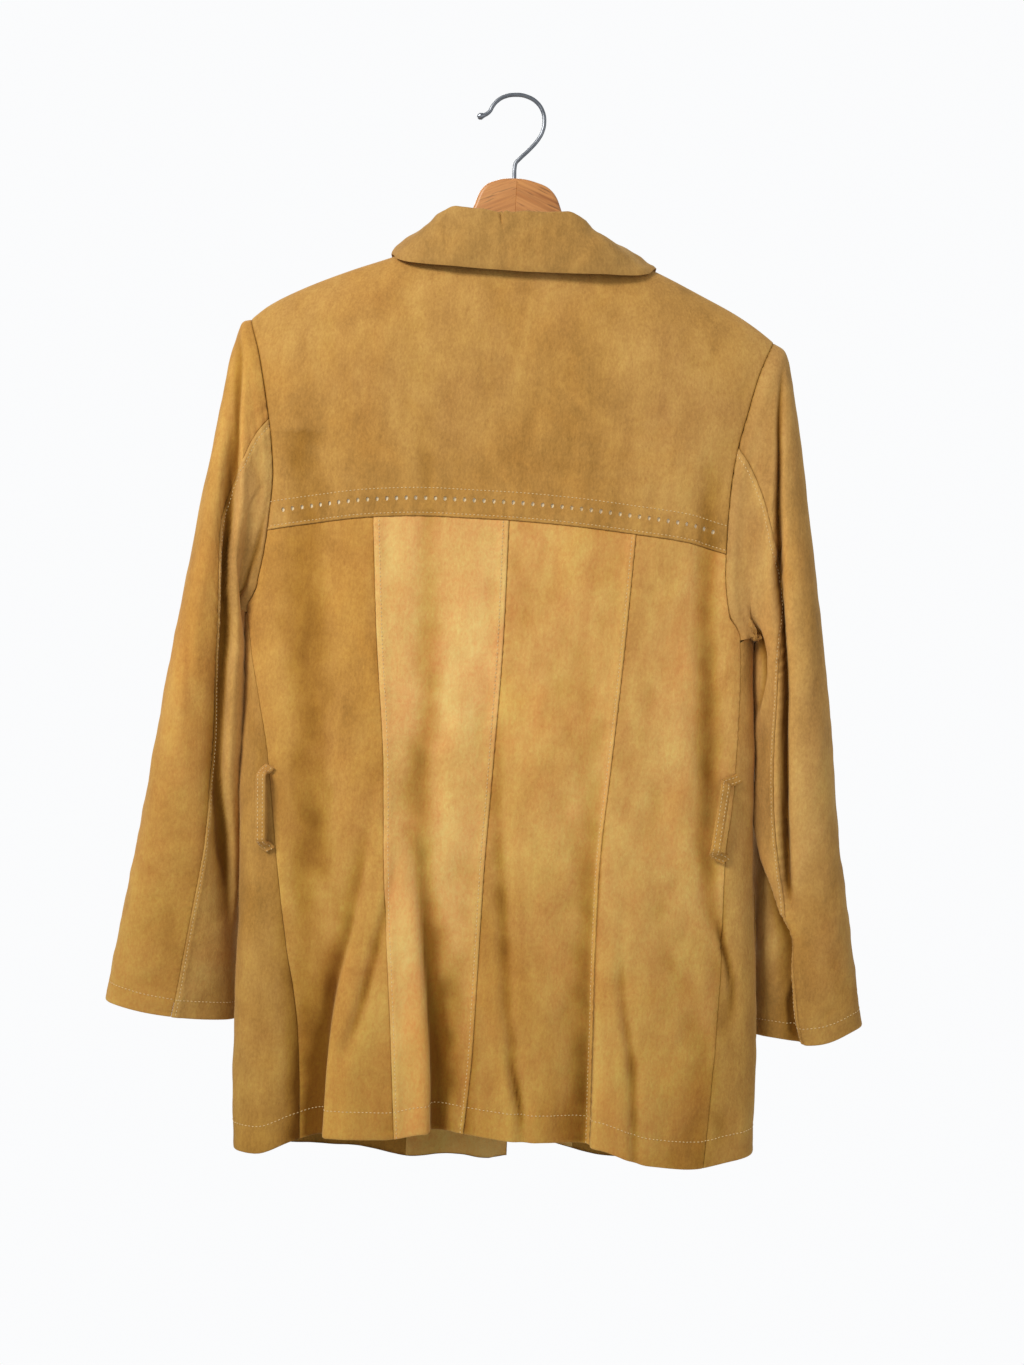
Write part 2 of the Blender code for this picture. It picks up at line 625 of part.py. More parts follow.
def give_material(obj, row):
    """A material of its own, from a row of name, colour, roughness and metal."""
    name, colour, rough, metal = row
    material = bpy.data.materials.new(f"{name} {obj.name}")
    material.use_nodes = True
    shader = material.node_tree.nodes["Principled BSDF"]
    shader.inputs["Base Color"].default_value = colour
    shader.inputs["Roughness"].default_value = rough
    shader.inputs["Metallic"].default_value = metal
    material.diffuse_color = colour
    obj.data.materials.append(material)


def place_object(name, data, material):
    obj = bpy.data.objects.new(name, data)
    give_material(obj, material)
    bpy.context.collection.objects.link(obj)
    return obj


def count_for(length, width, least=2):
    return max(least, int(round(length / width)) + 1)


def body_panel(name, inner, outer, top, rows, columns, gap, lap=0.0):
    """One piece of the body as a wall; its points are kept for what is sewn to it."""
    u, z = panel_grid(inner, outer, top, rows, columns, gap)
    face = lambda a, b: body(a, b, lap)
    out = face(u, z)
    normal = outward(face, u, z)
    thick = np.full(u.shape, WALL)
    hem_rows = np.asarray(rows[0]) <= HEM_SHARE + 1e-9
    plain = np.arange(len(columns)) < len(columns) - facing_columns()
    plain |= not name.startswith("front")
    thick[np.ix_(hem_rows, plain)] = HEM_WALL
    wall(name, out, out - normal * thick[..., None], SUEDE)
    return u, z, out, normal


# Rows from the hem to the armpit as shares of that height, and the extra ones above it.
HEM_SHARE = 0.055
LOW_ROWS = (0.0, HEM_SHARE, 0.058, 0.12, 0.19, 0.265, 0.345, 0.43, 0.53, 0.64, 0.76, 0.88, 1.0)
ARM_ROWS = (0.25, 0.5, 0.75, 1.0)
FRONT_ROWS = (0.045, 0.09, 0.18, 0.29, 0.41, 0.54, 0.67, 0.79, 0.89, 0.965, 1.0)
# Columns at the neck, as the way along the neckline: 0 at the centre back, 0.5 where it meets the
# shoulder line, 1 at the centre front. The facing starts at one of them.
BACK_NECK = (0.0, 0.08, 0.16, 0.24, 0.32, 0.39, 0.45, 0.50)
FRONT_NECK = (0.50, 0.55, 0.61, 0.67, 0.735, 0.80, 0.865, 0.93, 1.0)
FACING_START = 0.80
LAP_COLUMNS = 2  # facets of a front that lie beyond the middle
YOKE_ROWS = (0.0, 0.14, 0.28, 0.42, 0.55, 0.67, 0.78, 0.88, 0.96, 1.0)


def rows_up_to(shares):
    low = np.array(LOW_ROWS + (1.0,) * len(shares))
    high = np.array((0.0,) * len(LOW_ROWS) + tuple(shares))
    return low, high


def make_body():
    """The back, the yoke and the fronts. Returns each armhole's points, normals and heights."""
    def seam_top(u, z):
        return column(YOKE_SEAM, "z", resting(u, z)[..., 0])

    pieces = {}
    rows = rows_up_to(ARM_ROWS)
    seams = ("left", "centre", "right")
    lines = {s: (lambda z, s=s: edge_u(z, s)) for s in seams}
    lines["left_out"] = lambda z: outer_edge(z, "left", "back")
    lines["right_out"] = lambda z: outer_edge(z, "right", "back")
    order = (
        ("back_side_left", "left_out", "left"),
        ("back_centre_left", "left", "centre"),
        ("back_centre_right", "centre", "right"),
        ("back_side_right", "right", "right_out"),
    )
    low = np.array([-0.80])
    for name, first, second in order:
        width = abs(lines[first](low) - lines[second](low))[0] * ROUND * half_width(low)[0]
        across = np.linspace(0, 1, count_for(width, COLUMN))
        pieces[name] = body_panel(
            name, lines[first], lines[second], seam_top, rows, across, (1, 1, 0, 1)
        )

    # The yoke runs from armhole to armhole, from its seam up to the shoulders and the neck.
    u, z = yoke_grid()
    out = body(u, z)
    normal = outward(body, u, z)
    wall("back_yoke", out, out - normal * WALL, SUEDE)
    pieces["back_yoke"] = (u, z, out, normal)

    rows = rows_up_to(FRONT_ROWS)
    for name, side in (("left", 1), ("right", -1)):
        pieces["front_" + name] = body_panel(
            "front_" + name,
            lambda z: outer_edge(z, name, "front"),
            lambda z: edge_u(z, name + "_edge"),
            lambda u, z: top_of(resting(u, z)[..., 0], "front"),
            rows,
            front_columns(name, side),
            (1, 0, 0, 0),
            LAP if name == "right" else 0.0,
        )
    return pieces


def make_facings(pieces):
    """The turned-back strip inside each front edge, one layer further in."""
    for name in ("left", "right"):
        out, normal = (part[:, -facing_columns() :].copy() for part in pieces["front_" + name][2:4])
        out[0, :, 2] += 0.0012
        out[-1] += (out[-2] - out[-1]) * 0.3
        face = out - normal * (WALL + SEAM)
        wall(f"facing_{name}", face, face - normal * FACING_WALL, SUEDE)


def facing_columns():
    return sum(way >= FACING_START for way in FRONT_NECK) + LAP_COLUMNS


def neck_place(way, side):
    """x and z of the place this far along the neckline."""
    across = NECK[-1][0] * np.sin(np.pi * way)
    x = NECK_MIDDLE + side * across
    drop = np.where(way > 0.5, column(NECK, "front", across), column(NECK, "back", across))
    return x, column(SHOULDER, "z", x) - drop


def front_columns(name, side):
    """Shares across a front, with columns where the collar is sewn to it."""
    x, z = neck_place(np.array(FRONT_NECK), side)
    start, end = outer_edge(z, name, "front"), edge_u(z, name + "_edge")
    neck = (front_u(x, z, side) - start) / (end - start)
    lap = np.linspace(neck[-1], 1, LAP_COLUMNS + 1)[1:]
    return np.concatenate([np.linspace(0, neck[0], 7)[:-1], neck, lap])


def yoke_columns():
    """Shares across the yoke from its right armhole, with columns where the collar is sewn to it."""
    way = np.array(BACK_NECK)
    shares = []
    for side, order in ((-1, way[::-1]), (1, way[1:])):
        x, z = neck_place(order, side)
        right, left = edge_u(z, "right_back"), edge_u(z, "left_back")
        shares.append((back_u(x, z) - right) / (left - right))
    neck = np.concatenate(shares)
    return np.concatenate([np.linspace(0, neck[0], 12)[:-1], neck, np.linspace(neck[-1], 1, 12)[1:]])


def yoke_grid():
    """(u, z) over the yoke, its rows crowding towards the shoulder line."""
    across = yoke_columns()[None, :]
    share = np.asarray(YOKE_ROWS)[:, None]
    z = np.full((len(YOKE_ROWS), across.size), -0.30)
    u = np.zeros_like(z)
    for _ in range(60):
        left, right = edge_u(z, "left_back"), edge_u(z, "right_back")
        u = right + (left - right) * across
        x = resting(u, z)[..., 0]
        ridge = column(SHOULDER, "z", x)
        start, end = ridge - column(YOKE_SEAM, "z", x), ridge - top_of(x, "back")
        z = 0.5 * z + 0.5 * (ridge - end - (start - end) * (1 - share) ** 2)
    u, z = trimmed(u, z, (1, 1, 1, 0))
    return u, z


def armhole_loop(pieces, name):
    """Round one armhole from the shoulder down the back and up the front: points and normals."""
    last = name == "left"
    yoke = [part[::-1, -1 if last else 0] for part in pieces["back_yoke"][2:4]]
    arm = len(ARM_ROWS)
    back = [part[::-1][: arm + 1, 0 if last else -1] for part in pieces["back_side_" + name][2:4]]
    front = [part[len(LOW_ROWS) - 1 :, 0] for part in pieces["front_" + name][2:4]]
    joined = []
    for over, mid, fore in zip(yoke, back, front):
        seam = (over[-1] + mid[0]) / 2
        under = (mid[-1] + fore[0]) / 2
        tip = (over[0] + fore[-1]) / 2
        joined.append(np.concatenate([[tip], over[1:-1], [seam], mid[1:-1], [under], fore[1:-1]]))
    points, normals = joined[0], unit(joined[1])
    along = unit(np.roll(points, -1, axis=0) - np.roll(points, 1, axis=0))
    off = unit(np.cross(along, normals))
    inside = points.mean(axis=0) - points
    # The seam opens towards the middle of the armhole, along the cloth.
    off *= np.sign(np.einsum("ij,ij->i", off, inside))[:, None]
    return points + off * ARMHOLE_SEAM, normals


def sleeve_ring(name, turn, way):
    """The hanging sleeve as a ring of cloth: turn in radians round the arm, way down it."""
    table = (SLEEVE_COLUMNS,) + SLEEVES[name]
    get = {c: column(table, c, way) for c in SLEEVE_COLUMNS[1:]}
    cos, sin = np.cos(turn), np.sin(turn)
    across = np.sign(cos) * np.abs(cos) ** 0.80
    deep = np.sign(sin) * np.abs(sin) ** 0.80
    share = (1 + across) / 2
    x = get["in_x"] + (get["out_x"] - get["in_x"]) * share
    z = get["in_z"] + (get["out_z"] - get["in_z"]) * share
    level = get["in_y"] + (get["out_y"] - get["in_y"]) * share
    centre = (get["in_y"] + get["out_y"]) / 2
    y = level + np.where(deep > 0, get["back"] - centre, centre - get["front"]) * deep
    return np.stack([x, y, z], axis=-1)


def sleeve_place(name, loop, ring, way):
    """The sleeve's outer face: it leaves the armhole and becomes the hanging ring."""
    count = len(loop["turn"])
    k = np.floor(ring).astype(int)
    t = (ring - k)[..., None]
    start = loop["points"][k % count] * (1 - t) + loop["points"][(k + 1) % count] * t
    turns = np.append(loop["turn"], 2 * np.pi)
    turn = turns[k % count] * (1 - t[..., 0]) + turns[k % count + 1] * t[..., 0]
    rest = start - sleeve_ring(name, turn, np.zeros_like(way))
    behind = np.sin(np.pi * np.clip(turn / loop["armpit"], 0, 1))
    turn = turn + np.radians(column(ELBOW_SHIFT, "shift", way)) * behind
    hang = sleeve_ring(name, turn, way)
    blend = ease(way / 0.21)[..., None]
    point = hang + rest * (1 - blend)
    return point, turn


def sleeve_fold_depth(name, turn, way, around):
    """How far the long folds pull each place in."""
    depth = np.zeros(np.shape(turn))
    for (sleeve, bend, deep), rows in SLEEVE_FOLDS.items():
        if sleeve != name:
            continue
        line = (("way", "turn", "share"),) + rows
        off = (turn - np.radians(column(line, "turn", way))) * around
        depth += column(line, "share", way) * deep * np.exp(-((off / bend) ** 2))
    return depth


def sleeve_outward(place, name, ring, way):
    """Which way a sleeve's cloth faces; the right sleeve is laid round the other way."""
    by_ring = place(ring + RING_STEP, way) - place(ring - RING_STEP, way)
    low, high = np.clip(way - WAY_STEP, 0, 1), np.clip(way + WAY_STEP, 0, 1)
    by_way = place(ring, high) - place(ring, low)
    return unit(np.cross(by_way, by_ring)) * (1 if name == "left" else -1)


def sleeve_face(name, loop, ring, way):
    """The sleeve's outer face with its folds."""
    point, turn = sleeve_place(name, loop, ring, way)
    normal = sleeve_outward(lambda r, w: sleeve_place(name, loop, r, w)[0], name, ring, way)
    table = (SLEEVE_COLUMNS,) + SLEEVES[name]
    wide = np.abs(column(table, "out_x", way) - column(table, "in_x", way))
    around = 0.5 * np.maximum(wide, column(table, "back", way) - column(table, "front", way))
    depth = sleeve_fold_depth(name, turn, way, around)
    return point - normal * depth[..., None]


RING_STEP, WAY_STEP = 0.02, 0.004  # for slopes of the sleeves
SLEEVE_ROWS = (0.0, 0.018, 0.045, 0.08, 0.12, 0.165, 0.22, 0.28, 0.35, 0.43, 0.52, 0.62, 0.72, 0.82,
               0.945, 0.95, 1.0)
CUFF_HEM = 0.9475  # below this the cuff is turned up and lies double


def make_sleeve(pieces, name):
    """The sleeve in two pieces: the under one between its two seams, and the upper one."""
    points, normals = armhole_loop(pieces, name)
    count, low = len(points), int(np.argmin(points[:, 2]))
    high, deep = points[0, 2], SLEEVES[name][0][SLEEVE_COLUMNS.index("back")]
    level = 2 * (points[:, 2] - points[low, 2]) / (high - points[low, 2]) - 1
    turn = np.arctan2(points[:, 1] / deep, level) % (2 * np.pi)
    turn[0] = 0.0
    loop = {"points": points, "turn": turn, "armpit": turn[low]}
    face = lambda ring, share: sleeve_face(name, loop, ring, share)
    back = int(np.argmin(np.abs(points[: low + 1, 2] - ELBOW_SEAM)))
    fore = low + int(np.argmin(np.abs(points[low:, 2] - INNER_SEAM)))
    pieces_round = {"under": np.arange(back, fore + 1.0), "upper": np.arange(fore, back + count + 1.0)}
    for piece, across in pieces_round.items():
        ring, share = np.meshgrid(across, SLEEVE_ROWS)
        for edge, inwards in ((0, 1), (-1, -1)):
            near = face(ring[:, edge] + RING_STEP, share[:, edge])
            far = face(ring[:, edge] - RING_STEP, share[:, edge])
            per_ring = np.linalg.norm(near - far, axis=-1) / (2 * RING_STEP)
            ring[:, edge] += inwards * SEAM / 2 / per_ring
        out = face(ring, share)
        normal = sleeve_outward(face, name, ring, share)
        normal[0] = normals[np.round(ring[0]).astype(int) % count]
        thick = np.where(share > CUFF_HEM, HEM_WALL, WALL)
        wall(f"sleeve_{name}_{piece}", out, out - normal * thick[..., None], SUEDE)


def neckline(pieces, name, side):
    """The neck edge from the centre back to the centre front: way along it, points, normals."""
    half = NECK[-1][0]
    yoke = [part[-1] for part in pieces["back_yoke"][2:4]]
    behind = (yoke[0][:, 0] - NECK_MIDDLE) * side
    inside = np.flatnonzero((behind > 0.001) & (behind < half + 0.0005))
    inside = inside[np.argsort(behind[inside])]
    front = [part[-1] for part in pieces["front_" + name][2:4]]
    first = int(np.argmin(np.abs((front[0][:, 0] - NECK_MIDDLE) * side - half)))
    chosen = slice(first + 1, len(front[0]) - LAP_COLUMNS)
    ahead = (front[0][chosen, 0] - NECK_MIDDLE) * side
    corner = [(yoke[k][inside[-1]] + front[k][first]) / 2 for k in range(2)]
    ways = np.concatenate(
        [
            np.arcsin(np.clip(behind[inside[:-1]] / half, 0, 1)) / np.pi,
            [0.5],
            1 - np.arcsin(np.clip(ahead / half, 0, 1)) / np.pi,
        ]
    )
    points = np.concatenate([yoke[0][inside[:-1]], corner[0][None], front[0][chosen]])
    normals = np.concatenate([yoke[1][inside[:-1]], corner[1][None], front[1][chosen]])
    return ways, points, unit(normals)


def clear_of_body(points, margin):
    """Moves the turned-down part out until it lies on the shoulders, back and fronts."""
    points = points.copy()
    x, y, z = points[..., 0], points[..., 1], points[..., 2]
    share = np.abs(x - middle(z)) / half_width(z)
    back = np.interp(share, ACROSS[: SIDE + 1], DEEP[: SIDE + 1]) * column(BODY, "back", z)
    front = -np.interp(share, ACROSS[SIDE:][::-1], DEEP[SIDE:][::-1]) * column(BODY, "front", z)
    depth = np.where(y > 0, back, front + LAP) + margin
    foot = column(SHOULDER, "z", x) - SHOULDER_DROP
    tall = np.maximum(z - foot, 0) / (SHOULDER_DROP + margin)
    inside = 1 / np.clip(np.hypot(tall, y / depth), 0.5, 1.0)
    points[..., 1] = y * inside
    points[..., 2] = np.where(z > foot, foot + (z - foot) * inside, z)
    return points


def collar_lines(way, side, base, facing):
    """Rows of points across the collar at each place along it: the stand, the roll and the fall."""
    get = {c: column(COLLAR, c, way) for c in COLLAR[0][1:]}
    fold = np.stack([FOLD_MIDDLE + side * get["fold_x"], get["fold_y"], get["fold_z"]], axis=-1)
    edge = np.stack([EDGE_MIDDLE + side * get["edge_x"], get["edge_y"], get["edge_z"]], axis=-1)
    along = unit(np.gradient(fold, axis=0))
    up = fold - (base + edge) / 2
    up = unit(up - along * np.sum(up * along, axis=-1, keepdims=True))
    out = np.cross(up, along)
    out *= np.sign(np.sum(out * (edge - base), axis=-1, keepdims=True))
    run = unit(np.gradient(base, axis=0))
    rise = np.cross(facing, run)
    to_hole = (NECK_MIDDLE, 0, 0.05) - base * (1, 1, 0)
    rise *= np.sign(np.sum(rise * to_hole, axis=-1, keepdims=True))
    flat = unit(np.stack([run[:, 1], -run[:, 0], 0 * run[:, 0]], axis=-1))
    flat *= np.sign(np.sum(flat * (base - (NECK_MIDDLE, 0, 0)), axis=-1, keepdims=True))
    start = base + rise * 0.0008 - flat * COLLAR_WALL / 2
    bend = COLLAR_ROLL - COLLAR_WALL / 2
    centre = fold - up * COLLAR_ROLL
    foot, end = centre - out * bend, centre + out * bend
    lines = [start, start + (foot - start) * 0.5 + flat * 0.0008, foot]
    for turn in (45, 90, 135):
        lines.append(centre - out * bend * np.cos(np.radians(turn)) + up * bend * np.sin(np.radians(turn)))
    lines.append(end)
    for share, bulge in ((0.25, 0.0016), (0.5, 0.0020), (0.75, 0.0012), (1.0, 0.0)):
        fall = end + (edge - end) * share + out * bulge
        lines.append(clear_of_body(fall, COLLAR_WALL / 2 + 0.0016))
    return np.stack(lines, axis=0), flat


def make_collar(pieces):
    halves = [neckline(pieces, name, side) for name, side in (("right", -1), ("left", 1))]
    side = np.concatenate([-np.ones(len(halves[0][0])), np.ones(len(halves[1][0]))])
    way, base, facing = (np.concatenate([halves[0][k][::-1], halves[1][k]]) for k in range(3))
    mid, flat = collar_lines(way, side, base, facing)
    by_row, by_way = np.gradient(mid, axis=0), np.gradient(mid, axis=1)
    normal = unit(np.cross(by_row, by_way))
    # The normal points away from the neck on the stand, and away from the body on the fall.
    if normal[0, len(way) // 2, 1] < 0:
        normal = -normal
    normal[0] = flat
    half = normal * COLLAR_WALL / 2
    wall("collar", mid + half, mid - half, SUEDE)


def make_pockets():
    """Patch pockets, sewn down on three sides, their mouths a little open."""
    across = np.linspace(0, 1, 11)[None, :]
    up = np.array([0, 0.06, 0.14, 0.3, 0.5, 0.7, 0.88, 1.0])[:, None]
    for spot in records(POCKETS):
        side = np.sign(spot["side_u"])
        length = ROUND * half_width(np.array(spot["bottom"]))
        u = spot["side_u"] + side * spot["width"] / length * across + 0 * up
        corner = np.clip((np.abs(2 * across - 1) - 0.78) / 0.22, 0, 1)
        foot = spot["bottom"] + 0.016 * (1 - np.sqrt(1 - corner**2))
        z = foot + (spot["top"] - foot) * up
        lap = LAP if side < 0 else 0.0
        base, normal = body(u, z, lap), outward(lambda a, b: body(a, b, lap), u, z)
        loose = POCKET_BULGE * (1 - np.abs(2 * across - 1) ** 4) * up**2
        inner = base + normal * (spot["rest"] + loose)[..., None]
        wall(spot["name"], inner + normal * WALL, inner, SUEDE)


def make_belt_loops():
    """Narrow straps sewn down at both ends and standing off the side seams between."""
    along = np.array([0, 0.06, 0.11, 0.15, 0.20, 0.27, 0.36, 0.5, 0.64, 0.73, 0.80, 0.85, 0.89, 0.94, 1.0])
    for spot in records(BELT_LOOPS):
        x = spot["top_x"] + (spot["end_x"] - spot["top_x"]) * along
        z = spot["top_z"] + (spot["end_z"] - spot["top_z"]) * along
        u = back_u(x, z)
        base, normal = body(u, z), outward(body, u, z)
        normal = unit(normal.mean(axis=0) + 0 * normal)
        stand = ease((along - 0.09) / 0.13) * ease((0.91 - along) / 0.13)
        line = base + normal * (spot["rest"] + LOOP_STAND * stand)[:, None]
        run = unit(np.gradient(line, axis=0))
        side = unit(np.cross(run, normal))
        face = unit(np.cross(side, run))
        face *= np.sign(np.sum(face * normal, axis=-1, keepdims=True))
        inner = line[:, None] + side[:, None] * (np.linspace(-0.5, 0.5, 3) * LOOP_WIDTH)[None, :, None]
        wall(spot["name"], inner + face[:, None] * LOOP_WALL, inner, SUEDE)


def make_buttons():
    """Plain round buttons down the middle of the lap."""
    for number, z in enumerate(BUTTONS, 1):
        x = float(column(FRONT_EDGES, "left", z) + column(FRONT_EDGES, "right", z)) / 2
        place = body(front_u(x, np.array(z), -1), np.array(z), LAP)
        bpy.ops.mesh.primitive_cylinder_add(
            vertices=16,
            radius=BUTTON_RADIUS,
            depth=BUTTON_WALL,
            location=(place[0], place[1] - 0.0007 - BUTTON_WALL / 2, place[2]),
            rotation=(np.pi / 2, 0, 0),
        )
        button = bpy.context.object
        button.name = f"button_{number}"
        give_material(button, HORN)
        rim = button.modifiers.new("Rounded rim", "BEVEL")
        rim.width, rim.segments = 0.0010, 1


def make_hanger():
    """The wooden body as a flat outline with rounded edges, and the wire hook above it."""
    flat = bpy.data.curves.new("hanger_body", "CURVE")
    flat.dimensions, flat.fill_mode = "2D", "BOTH"
    flat.extrude, flat.bevel_depth, flat.bevel_resolution = WOOD_HALF - 0.0030, 0.0030, 1
    flat.offset = -0.0030
    flat.resolution_u = 2
    outline = flat.splines.new("BEZIER")
    points = WOOD_TOP + WOOD_UNDER
    outline.bezier_points.add(len(points) - 1)
    outline.use_cyclic_u = True
    for knot, (x, z) in zip(outline.bezier_points, points):
        knot.co = (x, z, 0)
        knot.handle_left_type = knot.handle_right_type = "AUTO"
    body_piece = place_object("hanger_body", flat, WOOD)
    body_piece.rotation_euler = (np.pi / 2, 0, 0)

    wire = bpy.data.curves.new("hanger_hook", "CURVE")
    wire.dimensions = "3D"
    wire.bevel_depth, wire.bevel_resolution, wire.use_fill_caps = WIRE, 2, True
    wire.resolution_u = 3
    line = wire.splines.new("BEZIER")
    beyond = [(BALL[0] + BALL[2] * step[0], BALL[1] + BALL[2] * step[1], step[2]) for step in BALL_STEPS]
    knots = [(x, z, 1.0) for x, z in HOOK] + beyond
    line.bezier_points.add(len(knots) - 1)
    for knot, (x, z, swell) in zip(line.bezier_points, knots):
        knot.co = (x, 0, z)
        knot.radius = swell
        knot.handle_left_type = knot.handle_right_type = "AUTO"
    place_object("hanger_hook", wire, WIRE_METAL)


def main():
    for obj in list(bpy.data.objects):
        bpy.data.objects.remove(obj)
    collection = bpy.data.collections.new("suede_jacket")
    bpy.context.scene.collection.children.link(collection)
    layers = bpy.context.view_layer
    layers.active_layer_collection = layers.layer_collection.children[collection.name]
    pieces = make_body()
    make_facings(pieces)
    make_sleeve(pieces, "left")
    make_sleeve(pieces, "right")
    make_collar(pieces)
    make_pockets()
    make_belt_loops()
    make_buttons()
    make_hanger()


main()
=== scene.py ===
"""A hip-length suede jacket on a wooden hanger, dressed in cloth, stitching and grain.

Metres. The origin is the point inside the hook that bears on its nail. +Z is up, the back of the
jacket faces +Y, the fronts face -Y and the wearer's left is +X.

The body is one closed ring of cloth. A place on it is (u, z): u runs from 0 at the centre back
through +0.5 at the wearer's left side to +1 at the centre front, and the same with a minus sign
round the right side. z is the height before the folds move it.
"""

import bmesh
import bpy
import numpy as np
from bpy.props import FloatProperty, FloatVectorProperty, PointerProperty
from mathutils import Matrix, Vector


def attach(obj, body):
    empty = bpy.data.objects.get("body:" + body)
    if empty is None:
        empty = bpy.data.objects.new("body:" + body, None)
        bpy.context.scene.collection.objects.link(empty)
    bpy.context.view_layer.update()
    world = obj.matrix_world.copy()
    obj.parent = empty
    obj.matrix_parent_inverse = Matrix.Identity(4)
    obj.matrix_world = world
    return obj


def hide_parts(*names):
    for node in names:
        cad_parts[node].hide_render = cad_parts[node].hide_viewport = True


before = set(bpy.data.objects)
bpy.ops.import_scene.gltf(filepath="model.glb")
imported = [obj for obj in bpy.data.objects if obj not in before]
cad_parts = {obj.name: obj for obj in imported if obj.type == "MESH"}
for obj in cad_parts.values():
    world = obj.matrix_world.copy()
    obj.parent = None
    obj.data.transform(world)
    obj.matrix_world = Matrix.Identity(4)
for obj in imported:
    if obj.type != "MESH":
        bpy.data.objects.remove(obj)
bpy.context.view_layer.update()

bl_info = {
    "name": "Suede jacket",
    "version": (1, 0, 0),
    "blender": (4, 5, 0),
    "location": "3D View > Sidebar > Jacket",
    "description": "Dresses a suede jacket on its hanger: cloth, seams, stitches, buttons and wood",
    "category": "Object",
}

# How the cloth is drawn: size of one facet, and the steps that crowd beside a seam.
FACET, SLEEVE_FACET, FRONT_FACET = 0.0028, 0.0026, 0.0040
BESIDE_SEAM = (0.0, 0.0005, 0.0012, 0.0021, 0.0030, 0.0040, 0.0052, 0.0066, 0.0084)
# The relief beside a seam, by distance from it: a turned edge that stands up over its seam
# allowance, an edge that goes down under its neighbour, and one that lies over the next piece.
RELIEF = (
    ("off", "welt", "under", "lap", "hem"),
    (0.0, 0.0001, -0.0004, 0.0, -0.0009), (0.0006, 0.0006, -0.0002, 0.0009, -0.0003),
    (0.0016, 0.001, -0.0001, 0.0012, 0.0), (0.003, 0.0006, 0.0, 0.001, 0.0001),
    (0.0045, 0.001, 0.0, 0.001, 0.0001), (0.007, 0.0005, 0.0, 0.0009, 0.0),
    (0.01, 0.0, 0.0, 0.0009, 0.0),
)
SEAM_COLUMN = 4  # the column of the grid that runs SEAM_STITCH beside a seam
SHOULDER_ROWS = 96

WALL = 0.0015  # one layer of suede
HEM_WALL = 0.0026  # where the hem is turned up and lies double
COLLAR_WALL = 0.0026  # two layers of suede
SEAM = 0.0003  # between two pieces that are sewn together
ARMHOLE_SEAM = 0.0005  # round the armholes, where the cloth turns a corner
STEP = 0.0004  # for slopes taken by difference
SHOULDER_DROP = 0.110  # how far below the shoulder line the cloth reaches its full depth
U_STEP = STEP / 0.45  # the same round the body

# The body at rest: height, wearer's left edge, right edge, depth of the back and of the fronts.
BODY = (
    ("z", "left", "right", "back", "front"),
    (-0.93, 0.188, -0.254, 0.047, 0.05), (-0.8, 0.193, -0.25, 0.047, 0.05),
    (-0.7, 0.195, -0.244, 0.046, 0.049), (-0.57, 0.2, -0.236, 0.045, 0.047),
    (-0.45, 0.204, -0.2295, 0.046, 0.046), (-0.34, 0.212, -0.229, 0.048, 0.045),
    (-0.25, 0.235, -0.252, 0.047, 0.045), (-0.19, 0.258, -0.275, 0.046, 0.045),
    (-0.08, 0.268, -0.286, 0.046, 0.045),
)
# The line along the top of the shoulders, carried on over the neck.
SHOULDER = (
    ("x", "z"),
    (-0.3, -0.252), (-0.26, -0.224), (-0.232, -0.1975), (-0.202, -0.1775), (-0.167, -0.1605),
    (-0.128, -0.143), (-0.095, -0.131), (-0.07, -0.1235), (-0.015, -0.113), (0.04, -0.1225),
    (0.069, -0.132), (0.097, -0.1435), (0.132, -0.157), (0.174, -0.176), (0.199, -0.1905),
    (0.2135, -0.203), (0.24, -0.228), (0.28, -0.258),
)
NECK_MIDDLE = -0.013
# The neckline: distance from its middle, and how far it lies below the shoulder line at the back
# and at the front.
NECK = (
    ("across", "back", "front"),
    (0.0, 0.035, 0.12), (0.025, 0.0312, 0.113), (0.045, 0.0235, 0.0945), (0.062, 0.0145, 0.063),
    (0.074, 0.0058, 0.028), (0.082, 0.0, 0.0),
)
YOKE_SEAM = (
    ("x", "z"),
    (-0.24, -0.392), (-0.194, -0.381), (-0.167, -0.375), (-0.122, -0.371), (-0.068, -0.3672),
    (-0.014, -0.3655), (0.042, -0.3655), (0.097, -0.369), (0.138, -0.375), (0.182, -0.383),
    (0.23, -0.395),
)
# Hem of the back and of the fronts, by x.
HEM_BACK = (
    ("x", "z"),
    (-0.255, -0.884), (-0.23, -0.889), (-0.2, -0.895), (-0.16, -0.892), (-0.112, -0.879),
    (-0.06, -0.879), (-0.02, -0.877), (0.02, -0.875), (0.06, -0.883), (0.1, -0.884),
    (0.14, -0.895), (0.17, -0.906), (0.19, -0.906),
)
HEM_FRONT = (
    ("x", "z"),
    (-0.255, -0.884), (-0.23, -0.893), (-0.18, -0.904), (-0.11, -0.911), (-0.05, -0.908),
    (-0.01, -0.909), (0.04, -0.921), (0.09, -0.912), (0.15, -0.909), (0.19, -0.906),
)
# The three long seams of the back and the two side seams: height and x on the back.
BACK_SEAMS = (
    ("z", "left", "centre", "right"),
    (-0.36, 0.0975, -0.016, -0.122), (-0.46, 0.089, -0.017, -0.118),
    (-0.57, 0.077, -0.0145, -0.112), (-0.66, 0.071, -0.012, -0.107), (-0.8, 0.057, -0.011, -0.109),
    (-0.92, 0.0465, -0.004, -0.112),
)
SIDE_SEAMS = (
    ("z", "left", "right"),
    (-0.45, 0.2005, -0.2145), (-0.49, 0.193, -0.217), (-0.57, 0.176, -0.2175),
    (-0.64, 0.165, -0.2125), (-0.72, 0.153, -0.215), (-0.8, 0.139, -0.213), (-0.93, 0.132, -0.207),
)
